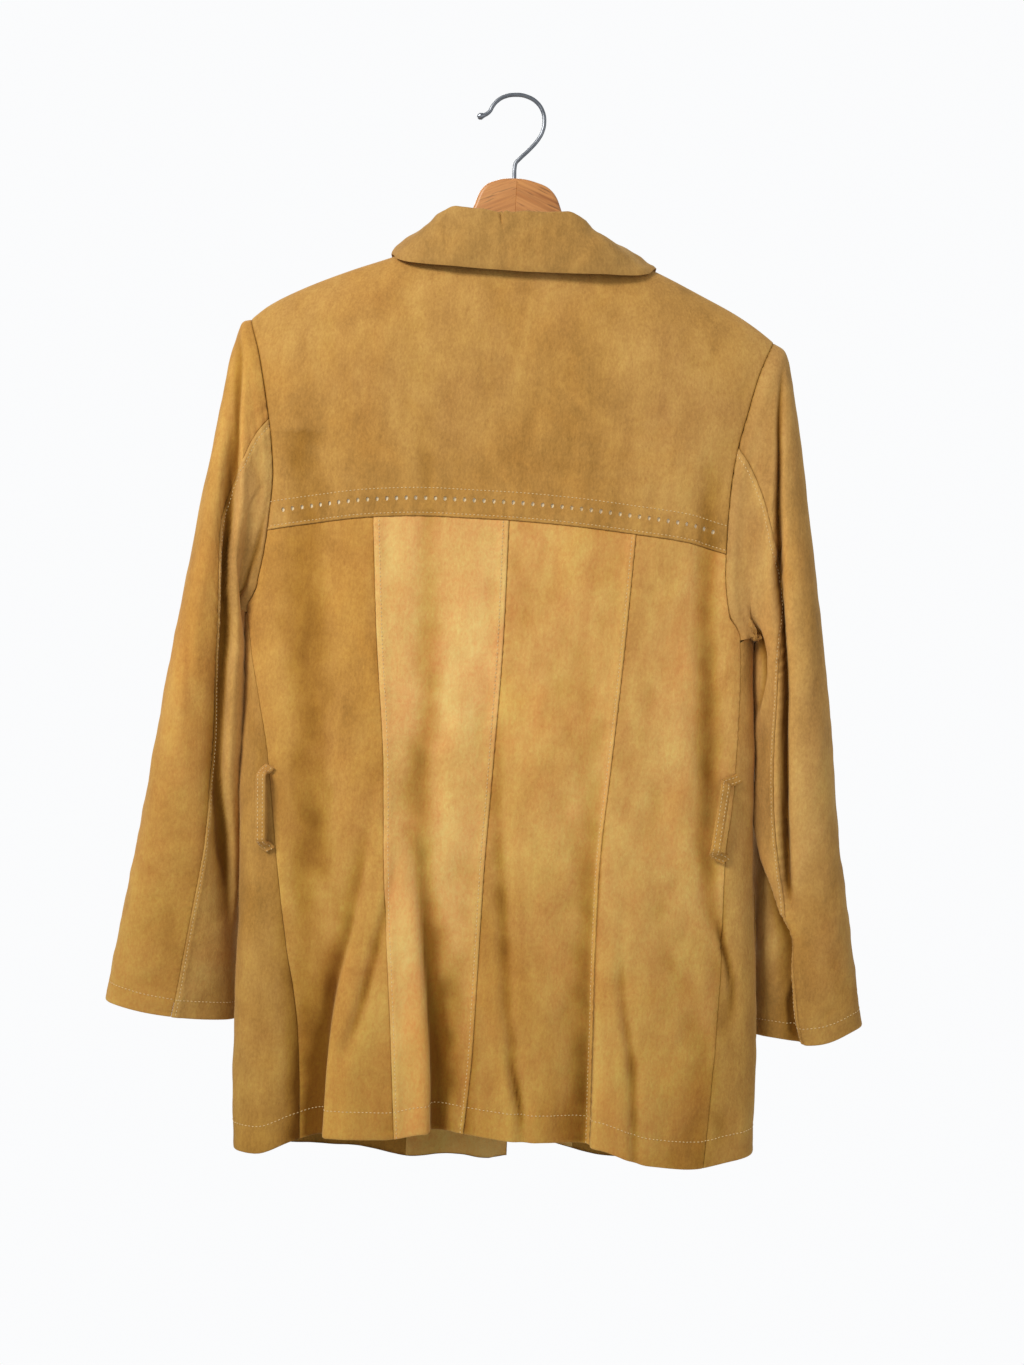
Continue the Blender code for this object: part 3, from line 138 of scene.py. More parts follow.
# The armhole seen on the back and on the front: height and x. It ends under the arm.
ARMHOLES = (
    ("z", "left_back", "left_front", "right_back", "right_front"),
    (-0.19, 0.2165, 0.2165, -0.236, -0.236), (-0.203, 0.213, 0.213, -0.229, -0.229),
    (-0.234, 0.202, 0.199, -0.217, -0.214), (-0.267, 0.194, 0.189, -0.209, -0.203),
    (-0.292, 0.189, 0.184, -0.2035, -0.197), (-0.316, 0.185, 0.181, -0.2, -0.194),
    (-0.341, 0.183, 0.18, -0.1985, -0.193), (-0.367, 0.184, 0.1815, -0.198, -0.194),
    (-0.396, 0.187, 0.186, -0.1985, -0.197), (-0.418, 0.1905, 0.192, -0.201, -0.202),
    (-0.436, 0.1935, 0.198, -0.205, -0.2085), (-0.455, 0.204, 0.204, -0.2165, -0.2165),
)
ARMPIT = -0.455
# The two front edges as x on the front: the wearer's right laps over the left.
FRONT_EDGES = (
    ("z", "left", "right"),
    (-0.23, -0.031, 0.005), (-0.5, -0.037, -0.002), (-0.93, -0.0455, -0.0105),
)
LAP = 0.0040  # how far the right front stands off to clear the left one and its own facing
FACING_WALL = 0.0012

# Lengthwise folds: the side of the line that stands proud (+1 towards the wearer's left, -1
# towards the right, 0 for a plain valley or ridge), half width of the bend, height on the proud
# side, depth on the other, how far each carries, and how far the bend tucks under itself.
# Each line is given below as height and x.
FOLD_COLUMNS = ("proud", "bend", "height", "depth", "height_reach", "depth_reach", "tuck")
FOLDS = {
    "lobe_left_edge": (-1, 0.0042, 0.0072, 0.019, 0.036, 0.046, 0.95),
    "lobe_right_edge": (1, 0.004, 0.0066, 0.0168, 0.036, 0.034, 1.15),
    "lap_edge": (-1, 0.0036, 0.008, 0.014, 0.045, 0.034, 1.15),
    "left_valley": (0, 0.024, 0.0012, 0.008, 0.016, 0.034, 0.0),
    "middle_valley": (0, 0.015, 0.001, 0.0056, 0.01, 0.022, 0.0),
    "centre_crease": (0, 0.0062, 0.0008, 0.0036, 0.008, 0.018, 0.0),
    "right_crease": (0, 0.0045, 0.0008, 0.0038, 0.006, 0.016, 0.0),
    "slant_crease": (0, 0.005, 0.0008, 0.0038, 0.007, 0.016, 0.0),
    "side_valley": (0, 0.013, 0.001, 0.0052, 0.011, 0.024, 0.0),
    "shade_left": (0, 0.011, 0.0002, 0.0009, 0.008, 0.02, 0.0),
    "shade_middle": (0, 0.008, 0.0002, 0.0013, 0.007, 0.02, 0.0),
    "edge_crease": (0, 0.0036, 0.001, 0.0042, 0.008, 0.014, 0.0),
    "hem_nick": (0, 0.0036, 0.0008, 0.0034, 0.008, 0.014, 0.0),
    "yoke_right": (0, 0.011, 0.0002, 0.0008, 0.008, 0.02, 0.0),
}
# The line of each fold: height, x, and the share of its full size there.
FOLD_LINES = {
    "lobe_left_edge": (
        (-0.56, 0.074, 0.0), (-0.62, 0.082, 0.1), (-0.71, 0.0945, 0.3), (-0.78, 0.107, 0.62),
        (-0.83, 0.11, 0.85), (-0.93, 0.1105, 1.0),
    ),
    "lobe_right_edge": (
        (-0.62, 0.045, 0.0), (-0.665, 0.043, 0.14), (-0.722, 0.036, 0.38), (-0.773, 0.029, 0.62),
        (-0.83, 0.023, 0.9), (-0.93, 0.018, 1.0),
    ),
    "lap_edge": (
        (-0.52, -0.113, 0.0), (-0.62, -0.1075, 0.22), (-0.7, -0.107, 0.45), (-0.79, -0.11, 0.75),
        (-0.87, -0.112, 1.0), (-0.93, -0.112, 1.0),
    ),
    "left_valley": (
        (-0.3, 0.158, 0.2), (-0.4, 0.15, 0.6), (-0.52, 0.143, 0.8), (-0.65, 0.134, 1.0),
        (-0.74, 0.137, 0.9), (-0.93, 0.134, 0.6),
    ),
    "middle_valley": (
        (-0.36, 0.05, 0.1), (-0.44, 0.047, 0.5), (-0.52, 0.04, 0.75), (-0.59, 0.045, 0.9),
        (-0.66, 0.041, 0.8), (-0.76, 0.026, 0.2), (-0.93, 0.01, 0.0),
    ),
    "centre_crease": (
        (-0.52, -0.018, 0.0), (-0.6, -0.021, 0.35), (-0.7, -0.031, 1.0), (-0.77, -0.038, 0.9),
        (-0.83, -0.05, 1.0), (-0.93, -0.062, 0.9),
    ),
    "right_crease": (
        (-0.66, -0.125, 0.0), (-0.753, -0.132, 0.55), (-0.816, -0.144, 1.0), (-0.93, -0.152, 0.5),
    ),
    "slant_crease": (
        (-0.64, 0.06, 0.0), (-0.7, 0.069, 0.9), (-0.783, 0.086, 1.0), (-0.83, 0.098, 0.3),
        (-0.93, 0.1, 0.0),
    ),
    "side_valley": (
        (-0.29, -0.18, 0.0), (-0.34, -0.182, 0.5), (-0.415, -0.184, 0.9), (-0.51, -0.191, 1.0),
        (-0.61, -0.196, 0.9), (-0.67, -0.203, 0.8), (-0.72, -0.213, 0.7), (-0.8, -0.226, 0.0),
    ),
    "edge_crease": (
        (-0.685, -0.21, 0.0), (-0.702, -0.2142, 0.8), (-0.729, -0.223, 1.0),
        (-0.747, -0.2262, 0.7), (-0.775, -0.228, 0.0),
    ),
    "hem_nick": (
        (-0.8, -0.04, 0.0), (-0.822, -0.0446, 1.0), (-0.837, -0.0488, 1.0), (-0.853, -0.053, 0.8),
        (-0.87, -0.056, 0.0),
    ),
    "yoke_right": (
        (-0.27, -0.062, 0.0), (-0.32, -0.063, 1.0), (-0.35, -0.064, 0.3), (-0.37, -0.064, 0.0),
    ),
    "shade_left": (
        (-0.27, 0.163, 0.0), (-0.315, 0.162, 1.0), (-0.35, 0.161, 0.2), (-0.38, 0.16, 0.0),
    ),
    "shade_middle": (
        (-0.28, 0.056, 0.0), (-0.33, 0.055, 1.0), (-0.37, 0.052, 0.8), (-0.42, 0.05, 0.0),
    ),
}

# Slow unevenness of hanging cloth, from long waves to short ones: how far out, how long a wave is
# and how much their direction varies.
BODY_RUMPLE = ((0.00060, 0.085, 0.35), (0.00022, 0.034, 0.55), (0.00008, 0.015, 0.9))
SLEEVE_RUMPLE = ((0.00030, 0.085, 0.5), (0.00022, 0.036, 0.8), (0.00008, 0.014, 1.2))
# Painted shade in hollows and painted light on crests: the reach the lift is compared over, and the height
# that shows in full.
FOLD_SHADE_HOLLOW, FOLD_SHADE_BROAD = (0.018, 0.0034), (0.050, 0.0130)
# Slow waves at the hem of the fronts: x, half width and how far out.
WAVES = (
    ("x", "reach", "out"),
    (0.045, 0.035, 0.006), (-0.02, 0.03, -0.005),
)

# The two sleeves, by share of the way from the shoulder (0) to the cuff (1): the outer line, the
# inner line, and how far each ring reaches to the back and to the front.
SLEEVE_COLUMNS = ("way", "out_x", "out_y", "out_z", "in_x", "in_y", "in_z", "back", "front")
SLEEVES = {
    "left": (
        (0.0, 0.2135, 0.0, -0.203, 0.204, 0.0, -0.455, 0.036, -0.036),
        (0.03, 0.2215, 0.0, -0.208, 0.211, -0.002, -0.4515, 0.038, -0.038),
        (0.07, 0.2275, 0.0, -0.23, 0.2165, -0.006, -0.457, 0.04, -0.041),
        (0.13, 0.233, -0.001, -0.275, 0.2125, -0.014, -0.466, 0.043, -0.045),
        (0.2, 0.2415, -0.002, -0.337, 0.2035, -0.022, -0.478, 0.0462, -0.05),
        (0.3, 0.2535, -0.004, -0.42, 0.199, -0.029, -0.512, 0.0442, -0.053),
        (0.45, 0.268, -0.006, -0.518, 0.1975, -0.031, -0.575, 0.0372, -0.053),
        (0.6, 0.28, -0.008, -0.612, 0.1975, -0.031, -0.642, 0.0312, -0.051),
        (0.8, 0.293, -0.01, -0.702, 0.1975, -0.031, -0.724, 0.024, -0.046),
        (1.0, 0.306, -0.01, -0.789, 0.195, -0.031, -0.803, 0.013, -0.042),
    ),
    "right": (
        (0.0, -0.229, 0.0, -0.1975, -0.2165, 0.0, -0.455, 0.036, -0.036),
        (0.03, -0.24, 0.0, -0.207, -0.224, -0.002, -0.4515, 0.038, -0.038),
        (0.07, -0.2475, 0.0, -0.23, -0.23, -0.006, -0.454, 0.04, -0.041),
        (0.13, -0.257, -0.001, -0.275, -0.2255, -0.014, -0.46, 0.043, -0.045),
        (0.2, -0.268, -0.002, -0.337, -0.2265, -0.022, -0.478, 0.045, -0.049),
        (0.3, -0.282, -0.004, -0.42, -0.229, -0.028, -0.512, 0.044, -0.052),
        (0.45, -0.2975, -0.006, -0.518, -0.2335, -0.03, -0.575, 0.038, -0.052),
        (0.6, -0.311, -0.008, -0.612, -0.2385, -0.03, -0.64, 0.031, -0.05),
        (0.8, -0.327, -0.01, -0.695, -0.2465, -0.03, -0.716, 0.024, -0.045),
        (1.0, -0.342, -0.01, -0.774, -0.2505, -0.03, -0.79, 0.014, -0.042),
    ),
}
ELBOW_SEAM = -0.292  # where the seam behind the arm leaves the armhole
INNER_SEAM = -0.372  # and the one in front
# How far the strip behind the elbow seam hangs below the rest of each cuff.
CUFF_DROP = {"left": 0.002, "right": 0.0085}
CUFF_STRIP, STRIP_REACH = 88, 34  # its middle and its reach round the arm, in degrees
# The seam behind the arm runs further round towards the body than the armhole's own points do:
# by this many degrees, by share of the way down.
ELBOW_SHIFT = (
    ("way", "shift"),
    (0.0, 0.0), (0.04, 6.0), (0.15, 15.0), (0.3, 30.0), (0.48, 40.0), (0.62, 36.0), (0.75, 30.0),
    (1.0, 20.0),
)
# Creases down the sleeves, as for the body; here +1 is the side of the higher turn.
SLEEVE_CREASES = (
    ("name", "sleeve", "proud", "bend", "height", "depth", "height_reach", "depth_reach", "tuck"),
    ("left_long", "left", 1, 0.0036, 0.006, 0.011, 0.026, 0.022, 1.3),
    ("left_armhole", "left", 0, 0.007, 0.0006, 0.0034, 0.01, 0.016, 0.0),
    ("left_crumple", "left", -1, 0.003, 0.0025, 0.005, 0.01, 0.012, 0.8),
    ("right_long", "right", 0, 0.0038, 0.002, 0.013, 0.01, 0.017, 0.0),
    ("right_flap", "right", -1, 0.0028, 0.0045, 0.0115, 0.022, 0.024, 1.15),
    ("right_armpit", "right", -1, 0.0038, 0.0034, 0.0085, 0.014, 0.016, 0.5),
    ("right_cuff_tuck", "right", 0, 0.0032, 0.001, 0.005, 0.008, 0.01, 0.0),
)
# Each line: share of the way down, turn round the arm in degrees (0 outside, 90 at the back, 180
# under the arm) and the share of the full size.
SLEEVE_LINES = {
    "left_long": (
        (0.03, 42, 0.0), (0.045, 52, 0.25), (0.064, 65, 0.45), (0.086, 85, 0.65), (0.106, 90, 0.8),
        (0.13, 99, 0.9), (0.16, 114, 1.0), (0.222, 123, 1.0), (0.327, 121, 1.0), (0.485, 124, 1.0),
        (0.62, 142, 0.9), (0.73, 150, 0.45), (0.8, 152, 0.0),
    ),
    "left_armhole": ((0.005, 118, 0.0), (0.02, 124, 0.8), (0.045, 146, 0.8), (0.07, 156, 0.0)),
    "left_crumple": ((0.29, 150, 0.0), (0.32, 158, 1.0), (0.345, 170, 1.0), (0.38, 182, 0.0)),
    "right_long": (
        (0.03, 32, 0.0), (0.06, 52, 0.3), (0.092, 67, 0.5), (0.118, 78, 0.7), (0.144, 86, 0.9),
        (0.16, 91, 1.0), (0.2, 96, 1.0), (0.257, 97, 1.0), (0.335, 98, 1.0), (0.393, 101, 1.0),
        (0.439, 102, 1.0), (0.541, 104, 1.0), (0.645, 104, 0.8), (0.69, 103, 0.3),
        (0.73, 103, 0.0),
    ),
    "right_flap": (
        (0.38, 158, 0.0), (0.44, 156, 0.5), (0.487, 154, 0.9), (0.563, 144, 1.0),
        (0.649, 125, 1.0), (0.713, 115, 1.0), (0.737, 109, 1.0), (0.792, 103, 0.9),
        (0.842, 104, 0.8), (0.928, 102, 0.7), (1.0, 96, 0.7),
    ),
    "right_armpit": (
        (0.09, 130, 0.0), (0.142, 131, 0.5), (0.194, 126, 1.0), (0.24, 121, 0.9),
        (0.275, 123, 0.6), (0.311, 134, 0.3), (0.34, 140, 0.0),
    ),
    "right_cuff_tuck": (
        (0.86, 105, 0.0), (0.888, 106, 1.0), (0.918, 109, 1.0), (0.958, 107, 0.8),
        (0.99, 106, 0.0),
    ),
}

# The collar from the centre back (0) to its front end (1): the line it folds over at and its edge.
FOLD_MIDDLE, EDGE_MIDDLE = -0.003, -0.0155
COLLAR = (
    ("way", "fold_x", "fold_y", "fold_z", "edge_x", "edge_y", "edge_z"),
    (0.0, 0.0, 0.04, -0.1095, 0.0, 0.0455, -0.159),
    (0.12, 0.023, 0.039, -0.107, 0.038, 0.0445, -0.158),
    (0.25, 0.045, 0.033, -0.105, 0.072, 0.04, -0.156),
    (0.35, 0.057, 0.024, -0.1095, 0.096, 0.031, -0.153),
    (0.43, 0.064, 0.013, -0.115, 0.108, 0.018, -0.1475),
    (0.5, 0.07, 0.0, -0.119, 0.113, 0.0, -0.141),
    (0.6, 0.07, -0.017, -0.128, 0.112, -0.021, -0.15),
    (0.7, 0.061, -0.033, -0.1465, 0.106, -0.04, -0.17),
    (0.8, 0.046, -0.044, -0.172, 0.098, -0.05, -0.193),
    (0.9, 0.027, -0.051, -0.198, 0.089, -0.057, -0.214),
    (1.0, 0.009, -0.055, -0.213, 0.08, -0.061, -0.236),
)
COLLAR_ROLL = 0.0038

# What lies on the cloth rests this far off the smooth surface, to clear its flat facets.
BELT_LOOPS = (
    ("name", "top_x", "top_z", "end_x", "end_z", "rest", "bend"),
    ("belt_loop_left", 0.1765, -0.58, 0.172, -0.65, 0.0007, 0.0048),
    ("belt_loop_right", -0.209, -0.568, -0.202, -0.637, 0.0015, 0.0105),
)
LOOP_WIDTH, LOOP_WALL, LOOP_STAND = 0.0085, 0.0022, 0.0085
POCKETS = (
    ("name", "side_u", "width", "top", "bottom", "rest"),
    ("pocket_left", 0.55, 0.145, -0.668, -0.815, 0.0007),
    ("pocket_right", -0.516, 0.145, -0.668, -0.815, 0.0015),
)
POCKET_BULGE = 0.0026
# How far off its plain height the hem hangs near each front's edge: by how much, where, how wide.
HEM_EDGE = {"left": (-0.0080, -0.025, 0.030), "right": (0.0095, -0.062, 0.050)}
# The collar's small tuck: where it starts at its fold, how it slants, where it fades out, how deep
# it is and how far the cloth beside it stands up.
TUCK = {"x": 0.0050, "slant": 0.16, "from": -0.112, "to": -0.134, "deep": 0.0026, "ridge": 0.0018}
POCKET_STITCH = 0.0030  # how far in from its edge the pocket is stitched
MITRE_X = -0.0057  # where the two halves of the wood meet
GRAIN_SLOPE = 0.42  # how steeply the grain falls away from the mitre
YOKE_STITCHES = (0.0030, 0.0235)  # the two rows of stitches above the yoke's lower edge
HOLE_ROW = 0.0150  # and the row of punched holes between them
HEM_STITCH = 0.023  # how far above the edge the hem is stitched
SLEEVE_LENGTH, SLEEVE_GRID, ARM_ROUND = 0.60, 0.58, 0.30  # for spacing things along and round a sleeve
ROOM = 0.50  # strength of the light from all round
LAMPS = (
    ("Key", (1.7, 1.9, 1.1), 0.9, 62, (1.0, 0.97, 0.92)),
    ("Fill", (-2.2, 1.8, 0.0), 1.6, 9, (1.0, 0.97, 0.94)),
    ("Front", (0.8, -2.6, 1.2), 1.6, 42, (1.0, 0.98, 0.95)),
)
# The camera: place, roll, and focal length as a share of the frame's height.
CAMERA, ROLL, FOCAL = (-0.026, 1.5, -0.499), np.radians(3.3), 1758 / 1365
BUTTON_REST = 0.0007  # how far a button stands off the cloth
THREAD_STAND = 0.00012  # and the middle of a stitch's thread
BUTTONS = (-0.262, -0.370, -0.478, -0.586, -0.694)

WOOD_HALF, WOOD_ROUND = 0.0065, 0.0036  # half its thickness, and how far its edges are rounded
# The wooden hanger seen flat: x and z along its top from one end to the other, then its underside.
WOOD_TOP = (
    (-0.214, -0.196), (-0.2, -0.1835), (-0.165, -0.166), (-0.128, -0.15), (-0.095, -0.1395),
    (-0.078, -0.1345), (-0.06, -0.124), (-0.047, -0.1), (-0.036, -0.0795), (-0.021, -0.0725),
    (-0.001, -0.0705), (0.012, -0.073), (0.022, -0.0785), (0.03, -0.096), (0.041, -0.122),
    (0.054, -0.135), (0.069, -0.1405), (0.097, -0.1505), (0.132, -0.1625), (0.17, -0.18),
    (0.188, -0.19), (0.198, -0.1985),
)
WOOD_UNDER = (
    (0.197, -0.208), (0.184, -0.2095), (0.14, -0.193), (0.09, -0.175), (0.04, -0.164),
    (-0.01, -0.161), (-0.06, -0.165), (-0.11, -0.176), (-0.16, -0.193), (-0.2, -0.207),
    (-0.213, -0.205),
)
# The hook: x and z along the middle of its wire.
WIRE = 0.00175
HOOK = (
    (-0.0032, -0.07), (-0.003, -0.06), (-0.0036, -0.0565), (-0.0062, -0.0532), (-0.015, -0.0438),
    (-0.0208, -0.0365), (-0.0248, -0.0285), (-0.026, -0.02), (-0.0243, -0.0115), (-0.019, -0.004),
    (-0.01, 0.0008), (0.0, 0.00175), (0.0088, -0.0002), (0.015, -0.0042), (0.0187, -0.009),
    (0.021, -0.0135), (0.0252, -0.017),
)
# The ball at its end: middle and radius, then steps along the wire in radii, with how much the
# wire swells at each.
BALL = (0.0285, -0.0182, 0.0030)
BALL_STEPS = ((-0.62, 0.24, 1.3), (0.0, 0.0, 1.72), (0.62, -0.24, 1.35), (0.92, -0.36, 0.6))


def records(table):
    """The rows of a table, each as a dictionary by column name."""
    return [dict(zip(table[0], row)) for row in table[1:]]


def column(table, name, at):
    """A named column of a table read at places along its first column, as a smooth line."""
    names, rows = table[0], np.array(table[1:], float)
    rows = rows[np.argsort(rows[:, 0])]
    return smooth_line(rows[:, 0], rows[:, names.index(name)], at)


def smooth_line(x, y, at):
    """The curve through (x, y) that rises and falls only where they do."""
    step = np.diff(x)
    rise = np.diff(y) / step
    slope = np.zeros(len(x))
    slope[0], slope[-1] = rise[0], rise[-1]
    same = rise[:-1] * rise[1:] > 0
    first, second = 2 * step[1:] + step[:-1], step[1:] + 2 * step[:-1]
    both = np.where(same, rise[:-1] * rise[1:], 1.0)
    mixed = first * rise[1:] + second * rise[:-1]
    slope[1:-1] = np.where(same, (first + second) * both / np.where(same, mixed, 1.0), 0.0)
    at = np.clip(at, x[0], x[-1])
    k = np.clip(np.searchsorted(x, at, side="right") - 1, 0, len(x) - 2)
    t = (at - x[k]) / step[k]
    return (
        (1 + 2 * t) * (1 - t) ** 2 * y[k]
        + t * (1 - t) ** 2 * step[k] * slope[k]
        + t * t * (3 - 2 * t) * y[k + 1]
        - t * t * (1 - t) * step[k] * slope[k + 1]
    )


def hump(off, reach, at=0.0):
    """1 at a place, falling to nothing beyond its reach."""
    return np.exp(-(((off - at) / reach) ** 2))


def ease(t):
    """From 0 to 1 as t does, level at both ends."""
    t = np.clip(t, 0.0, 1.0)
    return t * t * (3 - 2 * t)


def unit(v):
    """Vectors brought to length 1."""
    return v / np.maximum(np.linalg.norm(v, axis=-1, keepdims=True), 1e-12)


def ring_shape():
    """Half of the body's level section, from centre back to centre front by the way round it."""
    turn = np.linspace(0.0, np.pi, 4001)
    power = np.where(turn < np.pi / 2, 2 / 3.0, 2 / 2.3)
    x = np.abs(np.sin(turn)) ** power
    y = np.sign(np.cos(turn)) * np.abs(np.cos(turn)) ** power
    x[0] = x[-1] = 0.0
    length = np.hypot(np.diff(0.214 * x), np.diff(0.046 * y))
    way = np.concatenate(([0.0], np.cumsum(length)))
    even = np.linspace(0.0, 1.0, 3001)
    x = np.interp(even, way / way[-1], x)
    y = np.interp(even, way / way[-1], y)
    half = np.argmax(x)
    return even, x, y, half, way[-1] / 0.214


WAY, ACROSS, DEEP, SIDE, ROUND = ring_shape()


def middle(z):
    """x of the middle of the body."""
    return (column(BODY, "left", z) + column(BODY, "right", z)) / 2


def half_width(z):
    """Half the body's width."""
    return (column(BODY, "left", z) - column(BODY, "right", z)) / 2


def back_u(x, z):
    """u of the place on the back that stands at x."""
    share = (x - middle(z)) / half_width(z)
    return np.sign(share) * np.interp(np.abs(share), ACROSS[: SIDE + 1], WAY[: SIDE + 1])


def front_u(x, z, side):
    """u of the place on the front that stands at x, counted round the given side."""
    share = side * (x - middle(z)) / half_width(z)
    way = np.interp(np.abs(share), ACROSS[SIDE:][::-1], WAY[SIDE:][::-1])
    return side * np.where(share > 0, way, 2 - way)


def resting(u, z):
    """The body with no folds."""
    u = (np.asarray(u, float) + 1) % 2 - 1
    across = np.interp(np.abs(u), WAY, ACROSS)
    deep = np.interp(np.abs(u), WAY, DEEP)
    x = middle(z) + np.sign(u) * half_width(z) * across
    below = column(SHOULDER, "z", x) - z
    full = np.sqrt(1 - (1 - np.clip(below / SHOULDER_DROP, 0, 1)) ** 2)
    depth = np.where(deep > 0, column(BODY, "back", z), column(BODY, "front", z))
    y = deep * depth * full + np.sign(deep) * SEAM / 2 * np.exp(-np.abs(below) / 0.01)
    return np.stack([x, y, z], axis=-1)


def fold_moves(u, z):
    """How far the folds move each place outwards, and round the body."""
    out, along = np.zeros(np.shape(u)), np.zeros(np.shape(u))
    length = ROUND * half_width(z)
    for name, row in FOLDS.items():
        fold = dict(zip(FOLD_COLUMNS, row))
        line = (("z", "x", "share"),) + FOLD_LINES[name]
        share = column(line, "share", z) * (z < FOLD_LINES[name][0][0])
        off = (u - back_u(column(line, "x", z), z)) * length
        up, side = crease(off, fold, share)
        out, along = out + up, along + side
    return out, along / length


def slopes(place, u, z):
    """The place's two directions, by difference, without crossing the shoulder line."""
    by_u = place(u + U_STEP, z) - place(u - U_STEP, z)
    by_z = place(u, z + STEP / 8) - place(u, z - STEP)
    return by_u, by_z


def outward(place, u, z):
    """Which way the cloth faces; on the shoulder line itself, straight over it."""
    by_u, by_z = slopes(place, u, z)
    normal = np.cross(by_z, by_u)
    at_top = column(SHOULDER, "z", resting(u, z)[..., 0]) - z < STEP
    normal[..., 1] *= ~at_top
    return unit(normal)


def front_wave(u, z):
    """The fronts are plain but for slow waves that start low down and grow towards the hem."""
    x = resting(u, z)[..., 0]
    waves = (wave["out"] * hump(x, wave["reach"], wave["x"]) for wave in records(WAVES))
    return ease((-0.62 - z) / 0.25) * sum(waves)


def body_lift(u, z, lap):
    """How far the body's cloth stands off the plain shape, and how far it is drawn round it."""
    wrapped = (u + 1) % 2 - 1
    behind = ease((0.53 - np.abs(wrapped)) / 0.06)
    out, along = fold_moves(wrapped, z)
    ahead = ease((np.abs(u) - 0.60) / 0.12)
    below = column(SHOULDER, "z", resting(u, z)[..., 0]) - z
    lift = out * behind + front_wave(u, z) * ahead + rumple(wrapped, z) * ease((below - 0.004) / 0.05)
    if lap:
        lift = lift + lap * ease((np.abs(u) - 0.72) / 0.14) * ease(below / 0.08)
    return lift, along * behind, below < STEP


def rumple(u, z):
    """Slow unevenness of hanging cloth: long upright waves, then shallower and shorter ones."""
    round_it = u * 0.5
    low = 0.45 + 0.75 * ease((-0.34 - z) / 0.30)
    wide, short, small = waves_of(BODY_RUMPLE, round_it, z, 11)
    return low * (wide + short) + small


def waves_of(rumple_rows, a, b, seed):
    """The waves of each size, each from a seed of its own."""
    return [far * field(a, b, seed + k, size, lean) for k, (far, size, lean) in enumerate(rumple_rows)]


def field(a, b, seed, size, lean):
    """A random smooth field over two lengths in metres, about one wave to each size."""
    draw = np.random.default_rng(seed)
    total = 0.0
    for _ in range(12):
        turn, wave = draw.normal(0, lean), size * draw.uniform(0.7, 1.5)
        start = draw.uniform(0, 2 * np.pi)
        total = total + np.cos(2 * np.pi * (a * np.cos(turn) + b * np.sin(turn)) / wave + start)
    return total / np.sqrt(6)


def facing(points, axis, flat_top=None):
    """Which way a grid of points faces, away from the axis; straight up over the shoulder line."""
    normal = np.cross(np.gradient(points, axis=0), np.gradient(points, axis=1))
    if np.sum(unit(normal) * (points - axis)) < 0:
        normal = -normal
    if flat_top is not None:
        normal[..., 1] *= ~flat_top
    return unit(normal)


def hung(u, z, lap=0.0):
    """The body's cloth over a grid of (u, z): its place, the way it faces and how far it is lifted."""
    lift, along, at_top = body_lift(u, z, lap)
    axis = np.stack([middle(z), 0 * z, z], axis=-1)
    normal = facing(resting(u, z), axis, at_top)
    place = resting(u + along, z) + normal * lift[..., None]
    return place, facing(place, axis, at_top), lift


def body(u, z, lap=0.0):
    """The same at single places."""
    u, z = np.broadcast_arrays(np.asarray(u, float), np.asarray(z, float))
    lift, along, _ = body_lift(u, z, lap)
    moved = u + along
    return resting(moved, z) + outward(resting, moved, z) * lift[..., None]


def top_of(x, side):
    """Height where the cloth ends at the top: the shoulder line, or the neckline."""
    off = np.abs(x - NECK_MIDDLE)
    ridge = column(SHOULDER, "z", x)
    return ridge - column(NECK, side, off)


def edge_u(z, seam):
    """u along one of the named lines down the body."""
    if seam in ("left", "centre", "right"):
        return back_u(column(BACK_SEAMS, seam, z), z)
    side = 1 if seam.startswith("left") else -1
    name = seam.split("_")[0]
    if seam.endswith("side"):
        return back_u(column(SIDE_SEAMS, name, z), z)
    if seam.endswith("edge"):
        return front_u(column(FRONT_EDGES, name, z), z, side)
    return (back_u if seam.endswith("back") else lambda x, h: front_u(x, h, side))(
        column(ARMHOLES, seam, z), z
    )


def outer_edge(z, name, face):
    """The side seam up to the armpit, and the armhole above it."""
    side = edge_u(z, name + "_side")
    arm = edge_u(z, f"{name}_{face}")
    # Just above the armpit the armhole comes round from the side seam.
    near = ease((z - ARMPIT) / 0.022)
    return np.where(z <= ARMPIT, side, side + (arm - side) * near)


def hem_level(u):
    """Height of the hem; at its edge the left front hangs lower than the right one over it."""
    x = resting(u, np.full(np.shape(u), -0.88))[..., 0]
    front = ease((np.abs(u) - 0.44) / 0.08)
    left, right = (by * hump(x, wide, at) for by, at, wide in HEM_EDGE.values())
    ahead = column(HEM_FRONT, "z", x) + np.where(u > 0, left, right)
    return column(HEM_BACK, "z", x) * (1 - front) + ahead * front


def level_of(u, rows, top):
    """Height of each row at u: from the hem to the armpit, then on to the top."""
    low, high = rows
    hem = hem_level(u)
    lower = hem + (ARMPIT - hem) * low
    return lower + (top - ARMPIT) * high


def panel_grid(inner, outer, top, rows, columns, gap):
    """(u, z) over one panel: columns between two lines, rows from the hem to its top."""
    low, high = (np.asarray(r, float)[:, None] for r in rows)
    across = np.asarray(columns, float)[None, :]
    z = ARMPIT + 0 * (low + across)
    u = inner(z) + (outer(z) - inner(z)) * across
    for _ in range(14):
        z = 0.3 * z + 0.7 * level_of(u, (low, high), top(u, z))
        u = inner(z) + (outer(z) - inner(z)) * across
    return trimmed(u, z, gap)


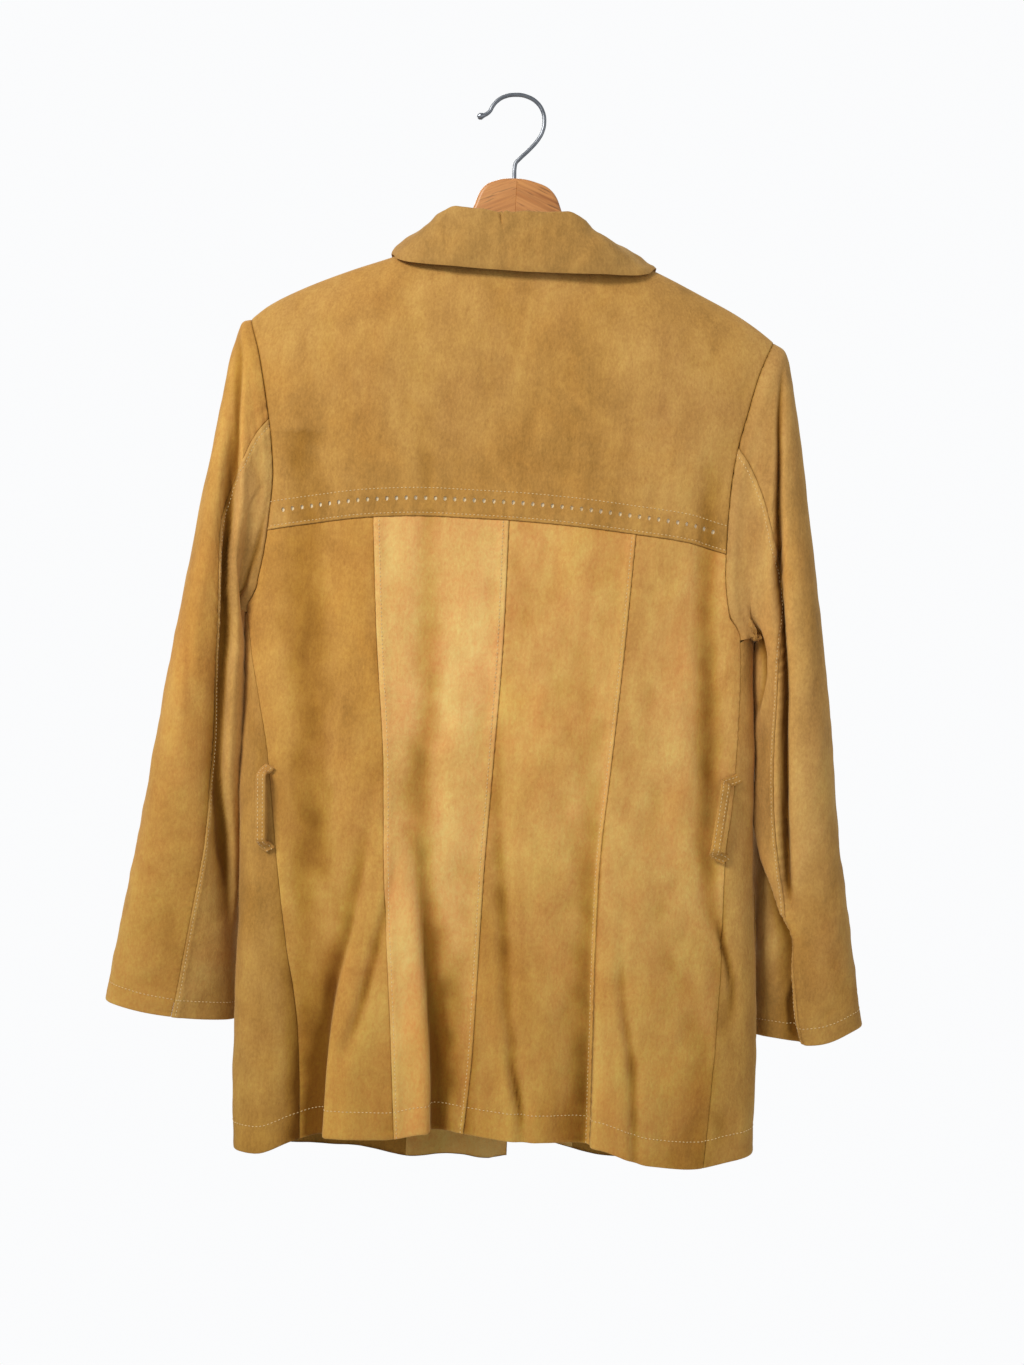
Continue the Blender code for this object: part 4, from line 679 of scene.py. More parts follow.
def trimmed(u, z, gap):
    """Moves the outermost lines in by half a seam where gap says so: left, right, bottom, top."""
    u, z = u.copy(), z.copy()
    per_u = lambda k: np.linalg.norm(slopes(resting, u[:, k], z[:, k])[0], axis=-1) / (2 * U_STEP)
    per_z = lambda k: np.linalg.norm(slopes(resting, u[k], z[k])[1], axis=-1) / (STEP * 1.125)
    way = np.sign(u[0, -1] - u[0, 0])
    if gap[0]:
        u[:, 0] += way * SEAM / 2 / per_u(0)
    if gap[1]:
        u[:, -1] -= way * SEAM / 2 / per_u(-1)
    if gap[2]:
        z[0] += SEAM / 2 / per_z(0)
    if gap[3]:
        z[-1] -= SEAM / 2 / np.minimum(per_z(-1), 2.0)
    return u, z


def neck_place(way, side):
    """x and z of the place this far along the neckline."""
    across = NECK[-1][0] * np.sin(np.pi * way)
    x = NECK_MIDDLE + side * across
    drop = np.where(way > 0.5, column(NECK, "front", across), column(NECK, "back", across))
    return x, column(SHOULDER, "z", x) - drop


def clear_of_body(points, margin):
    """Moves the turned-down part out until it lies on the shoulders, back and fronts."""
    points = points.copy()
    x, y, z = points[..., 0], points[..., 1], points[..., 2]
    share = np.abs(x - middle(z)) / half_width(z)
    back = np.interp(share, ACROSS[: SIDE + 1], DEEP[: SIDE + 1]) * column(BODY, "back", z)
    front = -np.interp(share, ACROSS[SIDE:][::-1], DEEP[SIDE:][::-1]) * column(BODY, "front", z)
    depth = np.where(y > 0, back, front + LAP) + margin
    foot = column(SHOULDER, "z", x) - SHOULDER_DROP
    tall = np.maximum(z - foot, 0) / (SHOULDER_DROP + margin)
    inside = 1 / np.clip(np.hypot(tall, y / depth), 0.5, 1.0)
    points[..., 1] = y * inside
    points[..., 2] = np.where(z > foot, foot + (z - foot) * inside, z)
    return points


def sleeve_ring(name, turn, way):
    """The hanging sleeve as a ring of cloth: turn in radians round the arm, way down it."""
    table = (SLEEVE_COLUMNS,) + SLEEVES[name]
    get = {c: column(table, c, way) for c in SLEEVE_COLUMNS[1:]}
    cos, sin = np.cos(turn), np.sin(turn)
    across = np.sign(cos) * np.abs(cos) ** 0.80
    deep = np.sign(sin) * np.abs(sin) ** 0.80
    share = (1 + across) / 2
    x = get["in_x"] + (get["out_x"] - get["in_x"]) * share
    z = get["in_z"] + (get["out_z"] - get["in_z"]) * share
    level = get["in_y"] + (get["out_y"] - get["in_y"]) * share
    centre = (get["in_y"] + get["out_y"]) / 2
    y = level + np.where(deep > 0, get["back"] - centre, centre - get["front"]) * deep
    return np.stack([x, y, z], axis=-1)


def sleeve_place(name, loop, ring, way):
    """The sleeve's outer face: it leaves the armhole and becomes the hanging ring."""
    count = len(loop["turn"])
    k = np.floor(ring).astype(int)
    t = (ring - k)[..., None]
    start = loop["points"][k % count] * (1 - t) + loop["points"][(k + 1) % count] * t
    turns = np.append(loop["turn"], 2 * np.pi)
    turn = turns[k % count] * (1 - t[..., 0]) + turns[k % count + 1] * t[..., 0]
    rest = start - sleeve_ring(name, turn, np.zeros_like(way))
    behind = np.sin(np.pi * np.clip(turn / loop["armpit"], 0, 1))
    turn = turn + np.radians(column(ELBOW_SHIFT, "shift", way)) * behind
    hang = sleeve_ring(name, turn, way)
    blend = ease(way / 0.21)[..., None]
    point = hang + rest * (1 - blend)
    return point, turn


def crease(off, fold, share):
    """Lift and sideways draw of the cloth beside a fold's line, by distance from it."""
    bend = fold["bend"]
    if fold["proud"] == 0:
        wide = hump(off, fold["depth_reach"])
        return share * (fold["height"] * wide - fold["depth"] * hump(off, bend)), 0.0
    off = off * fold["proud"]
    turn = np.tanh(off / bend)
    level = (fold["height"] + fold["depth"]) / 2 * turn + (fold["height"] - fold["depth"]) / 2
    reach = fold["depth_reach"] + (fold["height_reach"] - fold["depth_reach"]) * (turn + 1) / 2
    tuck = -fold["tuck"] * off * np.exp(-((off / bend) ** 2) / 2)
    return share * level * hump(off, reach), share * fold["proud"] * tuck


def sleeve_cloth(loop, ring, way):
    """A grid over a sleeve: its place, the way it faces and how far it is lifted."""
    name = loop["name"]
    point, turn = sleeve_place(name, loop, ring, way)
    axis = (sleeve_ring(name, 0 * way, way) + sleeve_ring(name, 0 * way + np.pi, way)) / 2
    normal = facing(point, axis)
    round_it = unit(np.gradient(point, axis=1))
    table = (SLEEVE_COLUMNS,) + SLEEVES[name]
    wide = np.abs(column(table, "out_x", way) - column(table, "in_x", way))
    around = 0.5 * np.maximum(wide, column(table, "back", way) - column(table, "front", way))
    lift, along = 0.0 * way, 0.0 * way
    for row in records(SLEEVE_CREASES):
        if row["sleeve"] != name:
            continue
        line = (("way", "turn", "share"),) + SLEEVE_LINES[row["name"]]
        off = (turn - np.radians(column(line, "turn", way))) * around
        inside = (way > line[1][0]) & (way < line[-1][0] + 1e-6)
        up, side = crease(off, row, column(line, "share", way) * inside)
        lift, along = lift + up, along + side
    seed = 31 if name == "left" else 41
    arm = ((turn + np.pi) % (2 * np.pi) - np.pi) * 0.05
    near_ends = ease(way / 0.06) * ease((1 - way) / 0.03)
    uneven = near_ends * sum(waves_of(SLEEVE_RUMPLE, arm, way * 0.6, seed))
    place = point + normal * (lift + uneven)[..., None] + round_it * along[..., None]
    behind = ((turn - np.radians(CUFF_STRIP) + np.pi) % (2 * np.pi) - np.pi) / np.radians(STRIP_REACH)
    place[..., 2] -= CUFF_DROP[name] * ease((way - 0.72) / 0.28) * np.exp(-(behind**2))
    return place, facing(place, axis), lift + uneven * 0.5


def fine_shares(width, near_start=True, near_end=True, facet=FACET):
    """Shares across a strip of cloth, close together beside its seams."""
    near = np.array(BESIDE_SEAM) / width
    start = near if near_start else near[:1]
    end = 1 - near[::-1] if near_end else np.array([1.0])
    count = max(2, int(round((end[0] - start[-1]) * width / facet)))
    return np.concatenate([start, np.linspace(start[-1], end[0], count + 1)[1:-1], end])


def yoke_bottom(u, z):
    """Height of the yoke seam."""
    return column(YOKE_SEAM, "z", resting(u, z)[..., 0])


def front_top(u, z):
    """Height where a front ends at the shoulder or the neck."""
    return top_of(resting(u, z)[..., 0], "front")


def line(seam):
    """A named line down the body as a function of height."""
    if seam.endswith("out"):
        return lambda z: outer_edge(z, seam.split("_")[0], "back")
    if seam.endswith("fore"):
        return lambda z: outer_edge(z, seam.split("_")[0], "front")
    return lambda z: edge_u(z, seam)


# The panels of the body: the lines at their two sides, and the relief beside each.
PANELS = (
    ("name", "first", "last", "first_edge", "last_edge", "top_edge", "facet"),
    ("back_side_left", "left_out", "left", "under", "under", "under", FACET),
    ("back_centre_left", "left", "centre", "welt", "welt", "under", FACET),
    ("back_centre_right", "centre", "right", "under", "welt", "under", FACET),
    ("back_side_right", "right", "right_out", "under", "under", "under", FACET),
    ("front_left", "left_fore", "left_edge", "under", "hem", "under", FRONT_FACET),
    ("front_right", "right_fore", "right_edge", "under", "hem", "under", FRONT_FACET),
)


def panel(name):
    """The row of a panel."""
    return next(row for row in records(PANELS) if row["name"] == name)


def metres_round(u, z):
    """Length of cloth in one whole step of u."""
    return ROUND * half_width(z) + 0 * u


def beside(kind, off):
    """The relief at a distance from a seam of this kind."""
    return column(RELIEF, kind, off)


def groove(off, half=0.0012, deep=0.0004):
    """The dip that a row of stitches pulls into the cloth."""
    return -deep * hump(off, half)


def pucker(along, off, reach, deep, seed, size=0.009):
    """Short ripples that a seam draws up, across its line."""
    return deep * field(along, 0 * along, seed, size, 0.0) * hump(off, reach)


def seams_of(row, u, z):
    """Distance from each edge of a panel: its two sides, its top and its hem."""
    long = metres_round(u, z)
    first = np.abs(u - line(row["first"])(z)) * long
    last = np.abs(u - line(row["last"])(z)) * long
    top = np.abs((front_top if row["name"].startswith("front") else yoke_bottom)(u, z) - z)
    return first, last, top, z - hem_level(u)


def panel_relief(row, u, z):
    """How far the cloth of a panel stands proud beside its seams and hem, and its mark of edge wear with
    painted sheen and of painted shade along its seams.
    """
    first, last, top, bottom = seams_of(row, u, z)
    lift = beside(row["first_edge"], first) + beside(row["last_edge"], last)
    lift += beside(row["top_edge"], top) + beside("hem", bottom)
    lift += groove(bottom - HEM_STITCH) + pucker(z, first, 0.007, 0.00016, 51)
    lift += pucker(z, last, 0.008, 0.00022, 52) + pucker(u * 0.45, bottom - HEM_STITCH, 0.009, 0.00022, 53)
    # Welts and the hem edge are painted lighter, for wear and painted sheen; the crevice along every seam
    # gets painted shade.
    wear_sheen_and_seam_shade = 0.0
    for edge, off in ((row["first_edge"], first), (row["last_edge"], last)):
        wear_sheen_and_seam_shade = wear_sheen_and_seam_shade + 0.30 * hump(off, 0.0022, 0.0022) * (edge == "welt")
    wear_sheen_and_seam_shade += 0.4 * hump(bottom, 0.0020)
    crack = np.minimum(np.minimum(first, last), top)
    return lift, wear_sheen_and_seam_shade - 0.35 * hump(crack, 0.0006)


def spread(values, points, reach):
    """The average of values over a soft patch of cloth, down the grid and then across it."""
    for axis in (0, 1):
        step = np.linalg.norm(np.diff(points, axis=axis), axis=-1).mean(axis=1 - axis)
        place = np.concatenate([[0.0], np.cumsum(step)])
        weight = np.exp(-(((place[:, None] - place[None, :]) / reach) ** 2))
        weight /= weight.sum(axis=1, keepdims=True)
        values = weight @ values if axis == 0 else values @ weight.T
    return values


def fold_shade_and_wear(lift, points, wear_sheen_and_seam_shade):
    """Painted shade and light with wear: -1 is painted shade in a fold, +1 painted light on a crest and on an
    edge lightened by wear and painted sheen.
    """
    # Both terms paint shade into the folds and light onto their crests, in place of the occlusion that the
    # relief would catch.
    hollow = 0.75 * (lift - spread(lift, points, FOLD_SHADE_HOLLOW[0])) / FOLD_SHADE_HOLLOW[1]
    broad = (lift - spread(lift, points, FOLD_SHADE_BROAD[0])) / FOLD_SHADE_BROAD[1]
    return np.clip(hollow + broad + wear_sheen_and_seam_shade, -1, 1)


def fine_panel(name):
    """Outside, normal, nap mark (painted fold shade and light with wear) and (u, z) over one panel of the
    body.
    """
    row = panel(name)
    first, last = line(row["first"]), line(row["last"])
    low = np.array([-0.80])
    width = abs(first(low) - last(low))[0] * metres_round(low * 0, low)[0]
    across = fine_shares(width, facet=row["facet"])
    lower = fine_shares(0.44, True, False, row["facet"])
    if name.startswith("front"):
        top, upper = front_top, 1 - (1 - np.linspace(0, 1, SHOULDER_ROWS)[1:]) ** 1.8
        gap = (1, 0, 0, 0)
    else:
        top, upper = yoke_bottom, fine_shares(0.085, False, True, row["facet"])[1:]
        gap = (1, 1, 0, 1)
    rows = (
        np.concatenate([lower, np.ones(len(upper))]),
        np.concatenate([np.zeros(len(lower)), upper]),
    )
    u, z = panel_grid(first, last, top, rows, across, gap)
    place, normal, lift = hung(u, z, LAP if name == "front_right" else 0.0)
    relief, wear_sheen_and_seam_shade = panel_relief(row, u, z)
    return place + normal * relief[..., None], normal, fold_shade_and_wear(lift, place, wear_sheen_and_seam_shade), (u, z)


def fine_yoke():
    """The same over the yoke: its foot lies over the back, doubled up to the upper stitching."""
    across = fine_shares(0.40)[None, :]
    share = fine_shares(0.30, True, False)[:, None]
    z = np.full((share.size, across.size), -0.30)
    for _ in range(20):
        left, right = edge_u(z, "left_back"), edge_u(z, "right_back")
        u = right + (left - right) * across
        x = resting(u, z)[..., 0]
        ridge = column(SHOULDER, "z", x)
        start, end = ridge - column(YOKE_SEAM, "z", x), ridge - top_of(x, "back")
        z = 0.3 * z + 0.7 * (ridge - end - (start - end) * (1 - share) ** 1.6)
    u, z = trimmed(u, z, (1, 1, 1, 0))
    place, normal, lift = hung(u, z)
    up = z - yoke_bottom(u, z)
    relief = beside("lap", up) - 0.0008 * ease((up - YOKE_STITCHES[1]) / 0.0030)
    for row in YOKE_STITCHES:
        relief += groove(up - row, 0.0012, 0.00045)
    relief += pucker(u * 0.45, up - 0.007, 0.0075, 0.00042, 61, 0.0095)
    relief += pucker(u * 0.45, up - 0.024, 0.006, 0.00016, 62)
    long = metres_round(u, z)
    # The lapped edge is painted lighter, for wear and painted sheen; the side seams get painted shade.
    wear_sheen_and_seam_shade = 0.35 * hump(up, 0.0022)
    for side in ("left_back", "right_back"):
        off = np.abs(u - edge_u(z, side)) * long
        relief += beside("under", off)
        wear_sheen_and_seam_shade -= 0.7 * hump(off, 0.0009)
    return place + normal * relief[..., None], normal, fold_shade_and_wear(lift, place, wear_sheen_and_seam_shade), (u, z)


def linked(name, data):
    """A new object in the scene."""
    obj = bpy.data.objects.new(name, data)
    bpy.context.scene.collection.objects.link(obj)
    return obj


def smoothed(mesh, degrees):
    """Shades a mesh smooth, but for edges that turn by more than this."""
    mesh.shade_smooth()
    mesh.set_sharp_from_angle(angle=np.radians(degrees))


def faced_out(mesh):
    """Turns a mesh's faces outwards."""
    opened = bmesh.new()
    opened.from_mesh(mesh)
    bmesh.ops.recalc_face_normals(opened, faces=opened.faces)
    opened.to_mesh(mesh)
    opened.free()


def evaluated(obj):
    """The mesh that an object's curve or modifiers make."""
    bpy.context.view_layer.update()
    return bpy.data.meshes.new_from_object(obj.evaluated_get(bpy.context.evaluated_depsgraph_get()))


def shell(name, outer, inner, nap=None, closed=False):
    """A closed skin between two grids of points; closed says that its columns go right round."""
    rows, cols = outer.shape[:2]
    count = rows * cols
    index = np.arange(count).reshape(rows, cols)
    if closed:
        index = np.concatenate([index, index[:, :1]], axis=1)
    a, b, c, d = index[:-1, :-1], index[:-1, 1:], index[1:, 1:], index[1:, :-1]
    outside = np.stack([a, b, c, d], axis=-1).reshape(-1, 4)
    faces = [outside, outside[:, ::-1] + count]
    rims = [index[0][::-1], index[-1]]
    if not closed:
        rims += [index[:, -1][::-1], index[:, 0]]
    for rim in rims:
        faces.append(np.stack([rim[:-1], rim[1:], rim[1:] + count, rim[:-1] + count], axis=-1))
    faces = np.concatenate(faces)
    points = np.concatenate([outer.reshape(-1, 3), inner.reshape(-1, 3)])
    a, b, c, d = (points[faces[:, k]] for k in range(4))
    volume = np.sum(a * np.cross(b, c)) + np.sum(a * np.cross(c, d))
    if volume < 0:
        faces = faces[:, ::-1]
    mesh = bpy.data.meshes.new(name)
    mesh.from_pydata(points.tolist(), [], faces.tolist())
    if nap is not None:
        shade = np.concatenate([nap.ravel(), np.full(count, -0.15)]).astype(np.float32)
        mesh.attributes.new("nap", "FLOAT", "POINT").data.foreach_set("value", shade)
    smoothed(mesh, 60)
    return linked(name, mesh)


def shoulder_tip(name):
    """Height where the armhole meets the shoulder line."""
    z = np.linspace(-0.24, -0.18, 601)
    x = resting(edge_u(z, name + "_back"), z)[:, 0]
    return z[np.argmin(np.abs(column(SHOULDER, "z", x) - z))]


def arm_loop(name, count=56):
    """The armhole from the shoulder tip down the back and up the front, as the sleeve's start."""
    tip = shoulder_tip(name)
    share = np.linspace(0, 1, count)
    z = tip - (tip - ARMPIT) * (1 - (1 - share**1.5) ** 1.1)
    u_yoke = edge_u(z, name + "_back")
    u_back = np.where(z > yoke_bottom(u_yoke, z), u_yoke, outer_edge(z, name, "back"))
    u_fore = outer_edge(z, name, "front")
    u = np.concatenate([u_back, u_fore[-2:0:-1]])
    z = np.concatenate([z, z[-2:0:-1]])
    points, normals = body(u, z), outward(body, u, z)
    points[0, 1] = 0.0
    along = unit(np.roll(points, -1, axis=0) - np.roll(points, 1, axis=0))
    off = unit(np.cross(along, normals))
    inside = points.mean(axis=0) - points
    off *= np.sign(np.einsum("ij,ij->i", off, inside))[:, None]
    points = points + off * ARMHOLE_SEAM
    low = int(np.argmin(points[:, 2]))
    deep = SLEEVES[name][0][SLEEVE_COLUMNS.index("back")]
    level = 2 * (points[:, 2] - points[low, 2]) / (points[0, 2] - points[low, 2]) - 1
    turn = np.arctan2(points[:, 1] / deep, level) % (2 * np.pi)
    turn[0] = 0.0
    turn = np.maximum.accumulate(turn)
    loop = {"name": name, "points": points, "turn": turn, "armpit": turn[low], "low": low}
    loop["back"] = ring_at(loop, ELBOW_SEAM, False)
    loop["fore"] = ring_at(loop, INNER_SEAM, True)
    return loop


def ring_at(loop, z, after):
    """The ring number where the armhole passes a height, behind the arm or in front of it."""
    low, count = loop["low"], len(loop["points"])
    part = np.arange(low, count) if after else np.arange(0, low + 1)
    return float(part[np.argmin(np.abs(loop["points"][part, 2] - z))])


def fine_sleeve(loop, piece):
    """Outside, normal, nap mark (painted fold shade and light with wear) and (ring, way) over one of the
    sleeve's two pieces.
    """
    count = len(loop["points"])
    first, last = loop["back"], loop["fore"]
    if piece == "upper":
        first, last = last, first + count
    across = first + (last - first) * fine_shares(ARM_ROUND / count * (last - first), facet=SLEEVE_FACET)
    across[0] += 0.03
    across[-1] -= 0.03
    ring, way = np.meshgrid(across, fine_shares(SLEEVE_GRID, facet=SLEEVE_FACET))
    place, normal, lift = sleeve_cloth(loop, ring, way)
    relief = beside("under", way * SLEEVE_LENGTH) + beside("hem", (1 - way) * SLEEVE_LENGTH)
    relief += groove((1 - way) * SLEEVE_LENGTH - HEM_STITCH)
    relief += 0.0012 * hump(way, 0.012, 0.018)
    relief += pucker(ring * 0.0054, way * SLEEVE_LENGTH, 0.010, 0.00035, 63, 0.012)
    to_cuff, from_top = (1 - way) * SLEEVE_LENGTH, way * SLEEVE_LENGTH
    # The cuff edge and the welt are painted lighter, for wear and painted sheen; the armhole seam and the
    # long seams get painted shade.
    wear_sheen_and_seam_shade = 0.4 * hump(to_cuff, 0.0020) - 0.4 * hump(from_top, 0.0010)
    to_first = (ring - across[0]) * ARM_ROUND / count
    to_last = (across[-1] - ring) * ARM_ROUND / count
    relief += beside("welt" if piece == "under" else "under", to_first) + beside("under", to_last)
    relief += pucker(way * 0.6, np.minimum(to_first, to_last), 0.008, 0.00022, 64)
    wear_sheen_and_seam_shade -= 0.35 * np.exp(-((np.minimum(to_first, to_last) / 0.0006) ** 2))
    wear_sheen_and_seam_shade += 0.4 * hump(to_first, 0.0022, 0.0022) * (piece == "under")
    out = place + normal * relief[..., None]
    # The seam allowance goes in under the edge of the armhole.
    under = out[0] + unit(out[0] - out[2]) * 0.0035 - normal[0] * 0.0022
    grow = lambda grid, row=None: np.concatenate([(grid[0] if row is None else row)[None], grid])
    nap = fold_shade_and_wear(lift, place, wear_sheen_and_seam_shade)
    return grow(out, under), grow(normal), grow(nap), (grow(ring), grow(way))


def collar_base():
    """The neck edge from the right front round the back to the left one."""
    way = np.concatenate([np.linspace(1, 0, 170), np.linspace(0, 1, 170)[1:]])
    side = np.concatenate([-np.ones(170), np.ones(169)])
    points = np.zeros((len(way), 3))
    for s in (-1, 1):
        lap = LAP if s < 0 else 0.0
        for behind in (True, False):
            part = (side == s) & ((way <= 0.5) == behind)
            x, z = neck_place(way[part], s)
            u = back_u(x, z) if behind else front_u(x, z, s)
            points[part] = body(u, z, lap)
    return way, side, points


def collar_sheet():
    """Points through the middle of the collar's cloth: stand, roll and fall; rows by way."""
    way, side, base = collar_base()
    get = {c: column(COLLAR, c, way) for c in COLLAR[0][1:]}
    fold = np.stack([FOLD_MIDDLE + side * get["fold_x"], get["fold_y"], get["fold_z"]], axis=-1)
    edge = np.stack([EDGE_MIDDLE + side * get["edge_x"], get["edge_y"], get["edge_z"]], axis=-1)
    along = unit(np.gradient(fold, axis=0))
    up = fold - (base + edge) / 2
    up = unit(up - along * np.sum(up * along, axis=-1, keepdims=True))
    out = np.cross(up, along)
    out *= np.sign(np.sum(out * (edge - base), axis=-1, keepdims=True))
    run = unit(np.gradient(base, axis=0))
    flat = unit(np.stack([run[:, 1], -run[:, 0], 0 * run[:, 0]], axis=-1))
    flat *= np.sign(np.sum(flat * (base - (NECK_MIDDLE, 0, 0)), axis=-1, keepdims=True))
    start = base - flat * COLLAR_WALL / 2
    bend = COLLAR_ROLL - COLLAR_WALL / 2
    centre = fold - up * COLLAR_ROLL
    foot, end = centre - out * bend, centre + out * bend
    lines = [start + (foot - start) * t + flat * 0.0008 * np.sin(np.pi * t) for t in np.linspace(0, 1, 9)]
    for turn in np.radians(np.linspace(0, 180, 11)[1:-1]):
        lines.append(centre - out * bend * np.cos(turn) + up * bend * np.sin(turn))
    for share in np.linspace(0, 1, 18):
        fall = end + (edge - end) * share + out * 0.0022 * np.sin(np.pi * share)
        lines.append(clear_of_body(fall, COLLAR_WALL / 2 + 0.0016))
    return np.stack(lines, axis=0), flat


def fine_collar():
    """Outside, inside and nap mark (painted shade and light with wear) of the collar, with a small tuck near
    the centre back.
    """
    mid, flat = collar_sheet()
    cols = mid.shape[1]
    normal = unit(np.cross(np.gradient(mid, axis=0), np.gradient(mid, axis=1)))
    if normal[0, cols // 2, 1] < 0:
        normal = -normal
    normal[0] = flat
    down = np.concatenate([[0.0], np.cumsum(np.linalg.norm(np.diff(mid[:, cols // 2], axis=0), axis=1))])
    to_edge = (down[-1] - down)[:, None] + 0 * mid[..., 0]
    x = mid[..., 0]
    lift = 0.0008 * field(x, mid[..., 2], 71, 0.045, 0.8) + 0.00024 * field(x, mid[..., 2], 72, 0.016, 1.2)
    lift *= ease(to_edge / 0.012) * 0.6 + 0.4
    tuck = TUCK["x"] + TUCK["slant"] * (mid[..., 2] - TUCK["from"])
    fade = ease((mid[..., 2] - TUCK["to"]) / 0.020) * (mid[..., 1] > 0) * np.clip(normal[..., 1] * 3, -1, 1)
    lift -= TUCK["deep"] * fade * hump(x, 0.0013, tuck)
    lift += TUCK["ridge"] * fade * np.exp(-(((x - tuck + 0.0036) / 0.0030) ** 2))
    # Painted shade in the tuck and hollows, painted light on ridges, and the rolled edge painted lighter for
    # wear and painted sheen.
    nap = lift * np.where(normal[..., 1] < 0, -1, 1) / 0.0016 + 0.35 * hump(to_edge, 0.002)
    # The edge is rounded over its last bit.
    rounded = np.sqrt(np.clip(1 - (1 - to_edge / 0.0014).clip(0) ** 2, 0.04, 1))
    half = normal * (COLLAR_WALL / 2 * rounded)[..., None]
    lifted = normal * lift[..., None]
    return mid + half + lifted, mid - half + lifted, np.clip(nap, -1, 1)


def facing_grid(name):
    """(u, z) of the turned-back strip inside one front edge."""
    side = 1 if name == "left" else -1
    x, z = neck_place(np.array([0.80]), side)
    edge = lambda h: edge_u(h, name + "_edge")
    fore = lambda h: outer_edge(h, name, "front")
    start = ((front_u(x, z, side) - fore(z)) / (edge(z) - fore(z)))[0]
    inner = lambda h: fore(h) + (edge(h) - fore(h)) * start
    low = fine_shares(0.44, True, False)
    high = 1 - (1 - np.linspace(0, 1, 60)[1:]) ** 1.8
    rows = (np.concatenate([low, np.ones(len(high))]), np.concatenate([np.zeros(len(low)), high]))
    return panel_grid(inner, edge, front_top, rows, fine_shares(0.09), (0, 0, 0, 0))


def strap(spot):
    """The inner and outer sides of one belt loop, nine points across."""
    along = np.linspace(0, 1, 61)
    ends = 2 - ease(along / 0.08) - ease((1 - along) / 0.08)
    x = spot["top_x"] + (spot["end_x"] - spot["top_x"]) * along - spot["bend"] * ends
    z = spot["top_z"] + (spot["end_z"] - spot["top_z"]) * along
    u = back_u(x, z)
    base, normal = body(u, z), outward(body, u, z)
    normal = unit(normal.mean(axis=0) + 0 * normal)
    stand = ease((along - 0.05) / 0.08) * ease((0.95 - along) / 0.08)
    middle_line = base + normal * (spot["rest"] + 0.0009 + LOOP_STAND * stand)[:, None]
    run = unit(np.gradient(middle_line, axis=0))
    side = unit(np.cross(run, normal))
    face = unit(np.cross(side, run))
    face *= np.sign(np.sum(face * normal, axis=-1, keepdims=True))
    across = np.linspace(-0.5, 0.5, 9)
    inner = middle_line[:, None] + side[:, None] * (across * LOOP_WIDTH)[None, :, None]
    edge = np.clip((np.abs(across) - 0.40) / 0.10, 0, 1) ** 2
    thick = LOOP_WALL * (1 - 0.35 * edge) - 0.0004 * np.exp(-(((np.abs(across) - 0.30) / 0.06) ** 2))
    return inner, inner + face[:, None] * thick[None, :, None]


def pocket_sheets(spot):
    """Outside, inside and nap mark (painted edge light with wear) of one patch pocket, its mouth
    a little open, with the distance from its mouth and the way it faces."""
    across = fine_shares(spot["width"])[None, :]
    up = fine_shares(spot["top"] - spot["bottom"])[:, None]
    side = np.sign(spot["side_u"])
    length = ROUND * half_width(np.array(spot["bottom"]))
    u = spot["side_u"] + side * spot["width"] / length * across + 0 * up
    corner = np.clip((np.abs(2 * across - 1) - 0.78) / 0.22, 0, 1)
    foot = spot["bottom"] + 0.016 * (1 - np.sqrt(1 - corner**2))
    z = foot + (spot["top"] - foot) * up
    base, normal, _ = hung(u, z, LAP if side < 0 else 0.0)
    loose = POCKET_BULGE * (1 - np.abs(2 * across - 1) ** 4) * up**2
    inner = base + normal * (spot["rest"] + loose)[..., None]
    wide, tall = spot["width"], spot["top"] - spot["bottom"]
    off = np.minimum(np.minimum(across, 1 - across) * wide + 0 * up, up * tall + 0 * across)
    mouth = (1 - up) * tall + 0 * across
    lift = WALL + beside("hem", off) + groove(off - POCKET_STITCH) + groove(mouth - HEM_STITCH)
    # The edges and the mouth are painted lighter, for wear and painted sheen.
    nap = 0.4 * np.exp(-((np.minimum(off, mouth) / 0.0020) ** 2))
    return inner + normal * lift[..., None], inner, nap, (mouth, normal)


def paced(points, normals, pace):
    """Places at an even pace along a line of points: middle, direction and the way it faces."""
    way = np.concatenate([[0.0], np.cumsum(np.linalg.norm(np.diff(points, axis=0), axis=1))])
    at = np.arange(pace / 2, way[-1], pace)
    take = lambda v: np.stack([np.interp(at, way, v[:, k]) for k in range(3)], axis=-1)
    return take(points), unit(take(np.gradient(points, axis=0))), unit(take(normals))


def level_line(place, normal, height, level):
    """The line over a grid where a height that grows up its rows has a given level."""
    high = np.clip(np.argmax(height >= level, axis=0), 1, len(height) - 1)
    col = np.arange(height.shape[1])
    t = ((level - height[high - 1, col]) / (height[high, col] - height[high - 1, col]))[:, None]
    pick = lambda grid: grid[high - 1, col] * (1 - t) + grid[high, col] * t
    return pick(place), unit(pick(normal))


